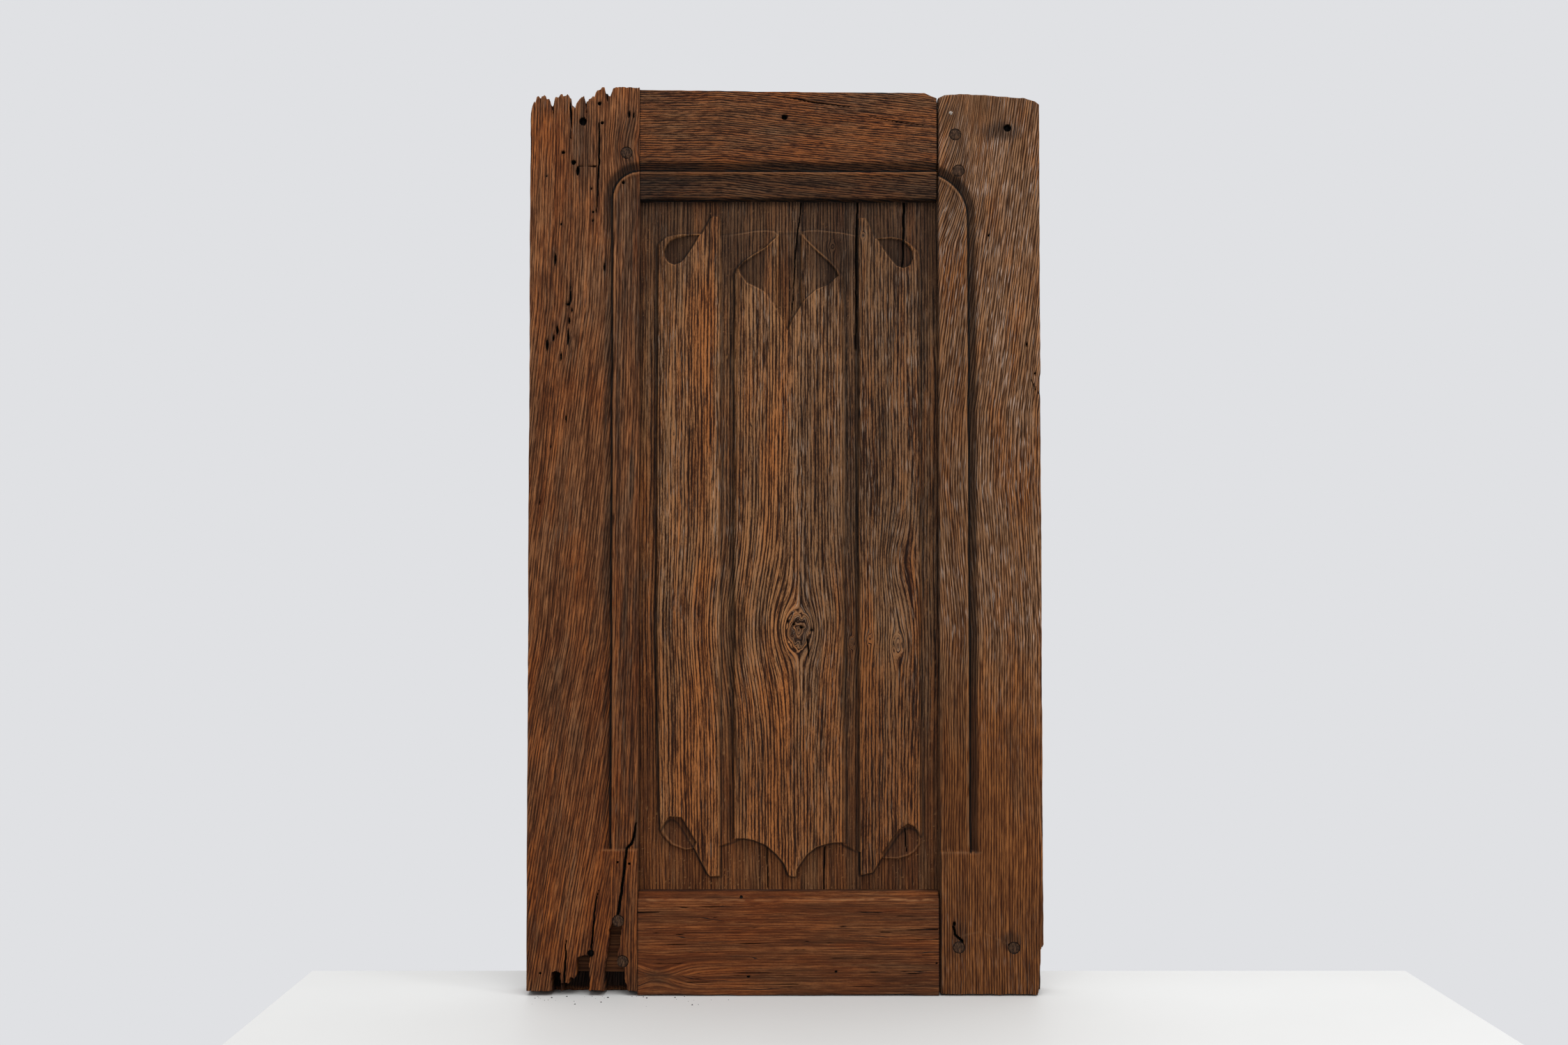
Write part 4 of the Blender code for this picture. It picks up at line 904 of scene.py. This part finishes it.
def board_shape(x, z):
    rise, rim, hollow = board_rise(x, z)
    across, along = board_flow(x, z)
    ridge = ridges(across, along, 211)
    proud = past(rise, 2, 3)
    depth = GROUND - rise + (0.2 + 0.3 * proud) * (1 - ridge) - 0.1 + 0.15 * noise(x / 14, z / 40, 212)
    gap = np.full(np.shape(x), 9.0)
    for crack in BOARD_CRACKS:
        gap = np.minimum(gap, from_line(x + 0.45 * noise(z / 6, x / 40, 213), z, crack))
    depth = depth + 6 * smooth(-(gap - 0.3) / 0.9)
    knot = np.zeros(np.shape(x))
    for kx, kz, size, _ in BOARD_KNOTS:
        knot = np.maximum(knot, smooth(1.4 - np.hypot(x - kx, (z - kz) / 1.2) / (size * 0.6)))
    # Top band of the board, under the top rail: it gets painted shadow, most on the ground.
    upper = past(z, 630, 60)
    patchy = layered(x / 22, z / 70, 214)
    solid = past(rise, 3.2, 1.6)
    arcs = past(z, 640, 20)
    line = near(rim - 0.8 + 0.5 * arcs, 0.8) * smooth((rise - 0.8 + 0.75 * arcs) / (2 - 1.6 * arcs))
    # Painted shade, with dirt, in the crease at the foot of the carved edges.
    foot = near(rim + 0.9, 1.1) * (1 - solid) * (1 - 0.55 * arcs)
    # Painted shadow cast to the left of each raised edge, as by a light from the right.
    cast_shadow_left = smooth((board_rise(x + 1.9, z)[0] - rise - 0.9) / 1.5)
    # Painted shade on the board along the stiles and the top rail.
    frame = smooth(1 - np.minimum(np.minimum(x - LEFT_SHOULDER, RIGHT_SHOULDER - x), TOP_LOW - z) / 5)
    strip = past(x, -6, 1) * past(x, 15.4, -1) * (z > 600)
    # Painted shade in the carved hollows, darker where they sink deeper; it is weaker on the diamond's middle
    # strip.
    sunk = past(hollow, 0.3, 1) * np.clip(1.25 - rise / 4.5, 0, 1) * (1 - 0.7 * strip)
    lip = near(hollow, 0.7)
    low = past(z, 300, -120)
    shade = 0.84 + 0.22 * patchy - 0.17 * (1 - solid) - 0.14 * upper * solid - 0.1 * knot
    shade = shade * (1 - 0.13 * past(x, 5, 20) - 0.08 * past(x, 50, 10))
    shade = shade * (1 + 0.12 * low * (1 - solid))
    # Painted shade at the foot of carved edges, cast to the left, along the frame, in the hollows and under
    # the top rail; darker cracks.
    shade = dimmed(
        shade, (0.55, foot), (0.6, cast_shadow_left), (0.35, frame), (0.33, sunk), (0.4, smooth(1 - gap / 1.3)),
        (0.36, upper * (1 - solid)))
    # Pale lines on the carved rims at the top: painted highlight where the rims catch the light, with wear;
    # they also lift the shade.
    whole = smooth(0.8 + noise(x / 10, z / 10, 215))
    edge_wear_and_highlight = np.maximum(lip * upper, line * arcs * (1 - solid)) * whole
    shade = shade * (1 + 0.45 * edge_wear_and_highlight)
    streaked = near(x + 108, 7, 1) * past(z, 470, 60)
    streaked = streaked * smooth(1.6 * noise(x / 1.2, z / 40, 224))
    # Pale marks: rim lines of wear and painted highlight, streaks on the left fold and dust on the ground.
    worn = (0.5 * line + 0.35 * lip + 0.1 * line * arcs) * whole + 0.5 * streaked * proud
    heap = smooth(1.5 - np.hypot((x + 66) / 26, (z - 99) / 4))
    dust = smooth((noise(x / 1.1, z / 1.1, 219) - 0.84 + 0.14 * heap) / 0.08)
    worn = worn + 0.9 * dust * (1 - proud)
    calm = 0.75 * past(hollow, 0.3, 1) * past(rise, 4.4, -1.6) * (1 - 0.7 * strip)
    calm = np.maximum(0.5 * (1 - solid) * (1 - 0.5 * strip), calm)
    calm = calm + 0.2 * upper + 0.4 * low * (1 - solid) + 0.6 * knot
    bands = np.array(BOARD_BANDS)
    swaying = x + 3 * noise(z / 90, x / 30, 220) + 2 * noise(z / 25, x / 9, 221)
    grey, red = (np.interp(swaying, bands[:, 0], bands[:, column]) for column in (1, 2))
    grey = grey + 0.9 * layered(x / 9, z / 70, 216) + 0.2 * smooth(x / 16)
    grey = grey * (0.4 + 0.6 * past(z, 200, 220)) + 0.4 * knot + 0.6 * edge_wear_and_highlight
    warmer, side = past(z, 380, -180), past(x, -119, -3) * past(z, 560, -100)
    red = red + 0.9 * layered(x / 10, z / 90, 217) + 0.8 * warmer + 0.7 * side
    shade = dimmed(shade, (0.05, warmer), (0.3 * side, smooth(1.6 * noise(x / 30, z / 55, 225))))
    return depth, looks(ridge, gap, shade, worn, red, grey, calm)


def board_back(x, z):
    """The back of the board is bevelled towards its edges, down to the tongues."""
    edge = np.minimum(np.minimum(x - BOARD_LEFT, BOARD_RIGHT - x), np.minimum(z - BOARD_LOW, BOARD_HIGH - z))
    hewn = 0.2 * (1 + noise(x / 9, z / 60, 218)) * (edge > 9)
    return np.interp(edge, (0, 9, 34), (20.8, 20.8, 24.3)) - hewn


# Pegs and nail.

def round_piece(name, px, pz, radius_at, depths, seed, segments=28):
    """Round bar with an uneven cut end: rings across the end, then rings down its side."""
    angles = np.linspace(0, 2 * math.pi, segments, endpoint=False)
    uneven = 1 + 0.035 * noise(np.cos(angles) * 1.7 + seed, np.sin(angles) * 1.7, seed)
    rings = [(part, None) for part in (0.18, 0.36, 0.54, 0.7, 0.84, 0.94, 1)] + [(1, deep) for deep in depths]
    places, across = [(px, max(depths[0] - 0.6, 0.05), pz)], [(0, 0, 0)]
    for part, deep in rings:
        radius = radius_at(deep or depths[0]) * part * uneven
        x, z = radius * np.cos(angles), radius * np.sin(angles)
        if deep is None:
            deep = depths[0] - 0.6 + 0.5 * past(part, 0.75, 0.25) + 0.22 * noise(x / 1.1, z / 1.6, seed + 1)
        deep = np.broadcast_to(np.maximum(deep, 0.05), x.shape)
        places += list(zip(px + x, deep, pz + z))
        across += list(zip(x * 2.2, z * 9 + deep * 9, deep))
    places.append((px, depths[-1], pz))
    across.append((0, 0, depths[-1]))
    faces = []
    for number in range(len(rings)):
        first = 1 + number * segments
        for step in range(segments):
            after = (step + 1) % segments
            inner = (first - segments + step, first - segments + after) if number else (0,)
            faces.append((*inner, first + after, first + step))
    tail = 1 + (len(rings) - 1) * segments
    faces += [(len(places) - 1, tail + step, tail + (step + 1) % segments) for step in range(segments)]
    x, z = np.array(places)[:, 0] - px, np.array(places)[:, 2] - pz
    none = np.zeros(len(places))
    shade = 1 - 0.35 * smooth((np.hypot(x, z) / radius_at(depths[0]) - 0.8) * 5)
    ridge = 0.5 + 0.5 * noise(x / 0.7, z / 1.4, seed + 2)
    values = looks(ridge, none + 9, shade, none, none, none + 0.4, none)
    places = [(x * MM, (deep - HALF) * MM, z * MM) for x, deep, z in places]
    return painted(built(name, places, faces, 50), np.array(across, float), values)


# Materials.

def tone(red, green, blue):
    """Colour written as it looks on a screen, 0 to 255, turned into the linear values that shaders use."""
    linear = [((c / 255 + 0.055) / 1.055) ** 2.4 if c > 10 else c / 255 / 12.92 for c in (red, green, blue)]
    return (*linear, 1)


class Graph:
    """Writes a material's nodes as expressions."""

    def __init__(self, name):
        self.material = bpy.data.materials.new(name)
        self.material.use_nodes = True
        self.tree = self.material.node_tree
        self.shader = self.tree.nodes["Principled BSDF"]

    def put(self, socket, value):
        if isinstance(value, bpy.types.NodeSocket):
            self.tree.links.new(value, socket)
        else:
            socket.default_value = value

    def node(self, kind, inputs=(), **settings):
        made = self.tree.nodes.new(kind)
        for key, value in settings.items():
            setattr(made, key, value)
        for key, value in dict(inputs).items():
            self.put(made.inputs[key], value)
        return made

    def mask(self, name):
        return self.node("ShaderNodeAttribute", attribute_name=name).outputs["Fac"]

    def math(self, operation, first, second=0, clamp=False):
        made = self.node("ShaderNodeMath", {0: first, 1: second}, operation=operation, use_clamp=clamp)
        return made.outputs[0]

    def times(self, first, second, clamp=False):
        return self.math("MULTIPLY", first, second, clamp)

    def plus(self, first, second):
        return self.math("ADD", first, second)

    def remap(self, value, low, high, to_low=0, to_high=1):
        inputs = {"Value": value, "From Min": low, "From Max": high, "To Min": to_low, "To Max": to_high}
        return self.node("ShaderNodeMapRange", inputs, interpolation_type="SMOOTHSTEP").outputs[0]

    def mix(self, factor, first, second, blend="MIX"):
        inputs = {0: factor, 6: first, 7: second}
        return self.node("ShaderNodeMix", inputs, data_type="RGBA", blend_type=blend).outputs[2]

    def tinted(self, factor, colour, tint):
        return self.mix(factor, colour, self.mix(1, colour, tint, "MULTIPLY"))

    def bump(self, strength, distance, height):
        inputs = {"Strength": strength, "Distance": distance, "Height": height}
        return self.node("ShaderNodeBump", inputs).outputs[0]

    def surface(self, inputs):
        for key, value in inputs.items():
            self.put(self.shader.inputs[key], value)
        return self.material

    def noise(self, vector, stretch, detail=2, rough=0.5):
        scaled = self.node("ShaderNodeVectorMath", {0: vector, 1: stretch}, operation="MULTIPLY").outputs[0]
        inputs = {"Vector": scaled, "Scale": 1, "Detail": detail, "Roughness": rough}
        return self.node("ShaderNodeTexNoise", inputs).outputs["Fac"]

    def sway(self, parts, middle):
        """Sum of weighted values that each swing about a half, set about the middle given."""
        total = middle - 0.5 * sum(weight for _, weight in parts)
        for value, weight in parts:
            total = self.plus(self.times(value, weight), total)
        return total

    def ramp(self, value, stops):
        made = self.node("ShaderNodeValToRGB", {0: value})
        elements = made.color_ramp.elements
        while len(elements) < len(stops):
            elements.new(0.5)
        for element, (place, colour) in zip(elements, stops):
            element.position, element.color = place, colour
        return made.outputs["Color"]


def oak(name, tones, tints, weights, spacing=2.2, flecks=0.4, pores=0.5, checks=0.4):
    """Weathered oak. tones are dark, body, pale and silver; tints are warm and cool. weights is what rings,
    ridges, hair lines, streaks, specks and bands add to the tone."""
    graph = Graph(name)
    dark, body, pale, silver = (tone(*values) for values in tones)
    warm, cool = ((*values, 1) for values in tints)
    grain = graph.node("ShaderNodeAttribute", attribute_name="grain").outputs["Vector"]
    ridge, shade, worn, grey = (graph.mask(key) for key in ("ridge", "shade", "worn", "grey"))
    hair, streak, speck, band, zone, tint, fleck, dash = (graph.noise(grain, *how) for how in (
        ((1.05, 0.055, 1.05), 2, 0.6), ((0.42, 0.016, 0.42), 2, 0.6), ((1, 0.4, 1), 2, 0.65),
        ((0.13, 0.005, 0.13),), ((0.045, 0.014, 0.045),), ((0.26, 0.012, 0.26),),
        ((1.25, 0.05, 1.25), 1, 0.6), ((1.1, 0.1, 1.3), 1, 0.6),
    ))
    sheet = graph.node("ShaderNodeSeparateXYZ", {0: grain}).outputs[0]
    turns = graph.times(sheet, 2 * math.pi / spacing)
    wave = graph.math("SINE", graph.plus(turns, graph.sway(((streak, 3), (band, 12)), 0)))
    dip = graph.math("POWER", graph.plus(graph.times(wave, 0.5), 0.5), 3)
    ring = graph.math("SUBTRACT", 0.72, graph.times(dip, graph.remap(hair, 0.35, 0.65, 1, 0.45)))
    level = graph.sway(tuple(zip((ring, ridge, hair, streak, speck, band), weights)), 0.5)
    still = graph.math("SUBTRACT", 1, graph.times(graph.mask("calm"), 0.7))
    level = graph.plus(graph.times(graph.math("SUBTRACT", level, 0.5), still), 0.5)
    colour = graph.ramp(level, ((0.2, dark), (0.5, body), (0.82, pale)))
    red = graph.plus(graph.mask("red"), graph.sway(((zone, 1.8), (tint, 1.6)), 0))
    colour = graph.tinted(graph.times(red, 0.8, True), colour, warm)
    cold = graph.times(grey, graph.remap(tint, 0.35, 0.65, 1.4, 0.3))
    colour = graph.tinted(graph.times(cold, 1, True), colour, cool)
    lit = graph.times(graph.times(graph.remap(fleck, 0.58, 0.72, 0, flecks), grey), still)
    colour = graph.mix(lit, colour, silver)
    colour = graph.mix(graph.times(graph.remap(dash, 0.3, 0.42, pores, 0), still), colour, dark)
    split = graph.math("SINE", graph.plus(graph.times(sheet, 0.92), graph.sway(((zone, 9), (band, 9)), 0)))
    opened = graph.remap(graph.noise(grain, (0.17, 0.019, 0.17), 1), 0.53, 0.6, 0, checks)
    opened = graph.times(graph.remap(split, 0.975, 0.998), opened)
    colour = graph.mix(graph.times(opened, still), colour, tone(16, 9, 6))
    # Pale colour where the mask holds wear and painted highlights.
    colour = graph.mix(graph.times(worn, 0.8, True), colour, pale)
    # Multiplied by the shade mask, which holds stains, dirt and painted shade.
    colour = graph.mix(1, colour, graph.node(
        "ShaderNodeCombineColor", {0: shade, 1: shade, 2: shade}).outputs[0], "MULTIPLY")
    open_gap = graph.remap(graph.mask("gap"), -0.05, 0.32, 1, 0)
    colour = graph.mix(open_gap, colour, tone(12, 8, 6))
    rough = graph.remap(level, 0.2, 0.8, 0.85, 0.58)
    height = graph.sway((
        (ring, 0.8), (hair, 0.8), (speck, 0.4), (fleck, 0.5), (open_gap, -1.5), (opened, -1)), 0.5)
    return graph.surface({
        "Base Color": colour, "Roughness": rough, "Normal": graph.bump(0.6, 0.0006, height),
        "Specular IOR Level": 0.16,
    })


def iron(name):
    graph = Graph(name)
    place = graph.node("ShaderNodeTexCoord").outputs["Object"]
    rust = graph.noise(place, (900, 900, 900), 4, 0.6)
    stops = (0.35, tone(196, 190, 180)), (0.55, tone(120, 108, 98)), (0.7, tone(84, 54, 38))
    return graph.surface({
        "Base Color": graph.ramp(rust, stops), "Roughness": graph.remap(rust, 0.3, 0.7, 0.3, 0.7),
        "Normal": graph.bump(0.5, 0.0002, rust), "Metallic": 0.8,
    })


def plaster(name, colour):
    graph = Graph(name)
    place = graph.node("ShaderNodeTexCoord").outputs["Object"]
    mottled = graph.noise(place, (6, 6, 6), 3)
    colour = graph.mix(graph.remap(mottled, 0.3, 0.7, 0, 0.06), colour, tone(190, 190, 188))
    return graph.surface({"Base Color": colour, "Roughness": 0.55})


left_oak, right_oak, top_oak, bottom_oak, board_oak, peg_oak = (oak(*settings) for settings in (
    ("left_stile_oak", ((44, 20, 4), (82, 46, 21), (134, 87, 51), (140, 112, 92)),
     ((1.25, 0.89, 0.42), (0.8, 0.94, 1.2)), (0.5, 0.1, 1.1, 0.7, 0.2, 0.5), 2.6),
    ("right_stile_oak", ((46, 23, 5), (80, 49, 24), (142, 102, 68), (196, 170, 152)),
     ((1.22, 0.9, 0.5), (0.94, 0.98, 1.12)), (0.9, 0.1, 1.2, 0.8, 0.1, 0.3), 2.4, 0.8, 0.5, 0.1),
    ("top_rail_oak", ((32, 13, 3), (76, 44, 19), (126, 84, 50), (126, 98, 78)),
     ((1.26, 0.88, 0.46), (0.82, 0.95, 1.2)), (1, 0.1, 1.6, 0.9, 0.35, 0.7), 2.1, 0.4, 0.6, 0.6),
    ("bottom_rail_oak", ((40, 17, 5), (80, 45, 20), (142, 96, 58), (120, 90, 66)),
     ((1.25, 0.88, 0.5), (0.82, 0.94, 1.2)), (0.12, 0.05, 0.4, 0.35, 0.15, 0.45), 2.4, 0.4, 0.3, 1),
    ("linenfold_oak", ((36, 16, 4), (86, 52, 25), (152, 106, 66), (176, 148, 126)),
     ((1.16, 0.88, 0.58), (0.88, 0.98, 1.2)), (0.95, 0.15, 1.35, 0.9, 0.6, 0.9), 3, 0.8, 0.5, 0.8),
    ("peg_oak", ((20, 11, 6), (52, 33, 20), (92, 64, 42), (100, 80, 64)),
     ((1.1, 0.95, 0.8), (0.9, 0.95, 1)), (0.3, 0.4, 0.8, 0.4, 0.4, 0.2)),
))


def dress(obj, material, slot, *nodes):
    obj.data.materials.append(material)
    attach(obj, "root")
    if nodes:
        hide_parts(*nodes)
    return obj


for piece, wood, columns, rows, (warp, shape, flow), levels in (
    ("left_stile", left_oak, stations((LEFT_EDGE, LEFT_SHOULDER, 0.78)), stations(
        (0, 110, 0.9), (110, 165, 1.2), (165, 715, 3.2), (715, 785, 1.2), (785, TALLEST, 0.9)),
     (left_warp, left_shape, left_flow), ring_levels(groove_in(1, *STILE_GROOVE))),
    ("right_stile", right_oak, stations((RIGHT_SHOULDER, RIGHT_EDGE, 0.75)), stations(
        (0, 80, 1.2), (80, 145, 1.3), (145, 700, 3), (700, RIGHT_TALL, 1.1)),
     (right_warp, right_shape, right_flow), ring_levels(groove_in(3, *STILE_GROOVE))),
    ("top_rail", top_oak, stations((RAIL_LEFT, RAIL_RIGHT, 1.3)), stations((TOP_LOW, RAIL_TALL, 0.7)),
     (top_rail_warp, top_rail_shape, top_rail_flow), ring_levels(groove_in(0), tenon_out(TOP_TENON))),
    ("bottom_rail", bottom_oak, stations((RAIL_LEFT, RAIL_RIGHT, 1.3)), stations((0, BOTTOM_TOP, 0.7)),
     (bottom_rail_warp, bottom_rail_shape, bottom_rail_flow),
     ring_levels(groove_in(2), tenon_out(BOTTOM_TENON))),
):
    dress(member(
        piece + "_weathered", columns, rows, warp, shape, flow, levels, flat_back, piece.endswith("rail"),
    ), wood, piece, piece)

board_levels = [(14, no_shift), (17, no_shift), (20, no_shift)]
board_columns = stations((BOARD_LEFT, -122, 0.9), (-122, 128, 0.68), (128, BOARD_RIGHT, 0.9))
for piece, rows in (
    ("linenfold_upper", stations((612, 728, 0.7), (728, BOARD_HIGH, 1.2))),
    ("linenfold_middle", stations((165, 612, 2.7))),
    ("linenfold_lower", stations((BOARD_LOW, 104, 1.2), (104, 165, 0.7))),
):
    dress(member(
        piece, board_columns, rows, lambda x, z, _: (x, z), board_shape, board_flow, board_levels, board_back,
    ), board_oak, "linenfold_panel", "linenfold_panel")

for number, (peg, px, pz) in enumerate(PEGS):
    dress(round_piece(
        peg + "_wood", px, pz, lambda deep: PEG_RADIUS - 0.35 * deep / THICK,
        (1, 2, 6, 12, 24, 35.6), 401 + number * 7,
    ), peg_oak, "pegs", peg)
dress(round_piece(
    "nail_iron", *NAIL_AT, lambda deep: 1.9 if deep < 0.95 else 1.1 - 0.045 * deep,
    (0.7, 0.9, 0.96, 6, 12), 461, 16,
), iron("nail_metal"), "nail", "nail")


# Slab to stand on, light and camera.

def stand():
    left, right, front, back, low = -0.465, 0.61, -0.62, 0.089, -0.16
    round_about = (left, front), (right, front), (right, back), (left, back)
    corners = [(x, y, z) for z in (low, 0) for x, y in round_about]
    slab = built("stand", corners, [
        (3, 2, 1, 0), (4, 5, 6, 7), (0, 1, 5, 4), (1, 2, 6, 5), (2, 3, 7, 6), (3, 0, 4, 7),
    ])
    rounding = slab.modifiers.new("rounding", "BEVEL")
    rounding.width, rounding.segments = 0.0015, 3
    slab.data.materials.append(plaster("stand_white", tone(219, 219, 217)))


def crumbs():
    """Crumbs of rotten wood that have dropped on the slab by the left foot."""
    places, faces = [], []
    for number in range(34):
        pick = picks(number, range(4), 501)
        x, y = (LEFT_EDGE + 10 + 190 * pick[0] ** 1.6) * MM, (-19.5 - 38 * pick[1] ** 2.5) * MM
        size, first = (0.35 + 0.9 * pick[2] ** 2) * MM, len(places)
        places += [
            (x + size * math.cos(turn + 6 * pick[3]), y + 0.7 * size * math.sin(turn + 6 * pick[3]), 0)
            for turn in (0, 1.4, 2.7, 4.4)
        ]
        places.append((x + 0.2 * size, y, 0.8 * size))
        faces += [(first + side, first + (side + 1) % 4, first + 4) for side in range(4)]
        faces.append((first + 3, first + 2, first + 1, first))
    dropped = built("crumbs", places, faces)
    dropped.data.materials.append(peg_oak)


def lamp(name, place, target, size, power):
    data = bpy.data.lights.new(name, "AREA")
    data.shape, data.size, data.energy = "DISK", size, power
    obj = linked(name, data)
    obj.location = place
    aim = np.array(target, float) - np.array(place, float)
    flat = math.hypot(aim[0], aim[1])
    obj.rotation_euler = (math.atan2(flat, -aim[2]), 0, math.atan2(-aim[0], aim[1]))


stand()
crumbs()
lamp("softbox_above", (0.1, -1.1, 2.3), (0, 0, 0.45), 1.2, 20)
lamp("softbox_right", (1.3, -0.9, 1.4), (0, 0, 0.42), 0.5, 7)

world = bpy.data.worlds.new("studio")
world.use_nodes = True
sky = world.node_tree
towards = sky.nodes.new("ShaderNodeTexCoord").outputs["Generated"]
upward = sky.nodes.new("ShaderNodeSeparateXYZ")
sky.links.new(towards, upward.inputs[0])
shift = sky.nodes.new("ShaderNodeMapRange")
shift.inputs["From Min"].default_value, shift.inputs["From Max"].default_value = -1, 1
sky.links.new(upward.outputs["Z"], shift.inputs["Value"])
walls = sky.nodes.new("ShaderNodeValToRGB")
for number, (height, colour) in enumerate((
    (0.12, (0.3, 0.3, 0.3, 1)), (0.36, tone(224, 225, 228)), (0.66, tone(224, 225, 228)),
    (0.9, (0.95, 0.95, 0.96, 1)),
)):
    stop = walls.color_ramp.elements[number] if number < 2 else walls.color_ramp.elements.new(height)
    stop.position, stop.color = height, colour
sky.links.new(shift.outputs[0], walls.inputs[0])
sky.links.new(walls.outputs[0], sky.nodes["Background"].inputs["Color"])
bpy.context.scene.world = world
bpy.context.scene.view_settings.view_transform = "Standard"

view = bpy.data.cameras.new("camera")
view.lens, view.sensor_width, view.sensor_fit = 40, 36, "HORIZONTAL"
view.clip_start, view.clip_end = 0.01, 50
camera = linked("camera", view)
camera.location = CAMERA_AT
camera.rotation_euler = (math.radians(CAMERA_TILT), 0, 0)
bpy.context.scene.camera = camera
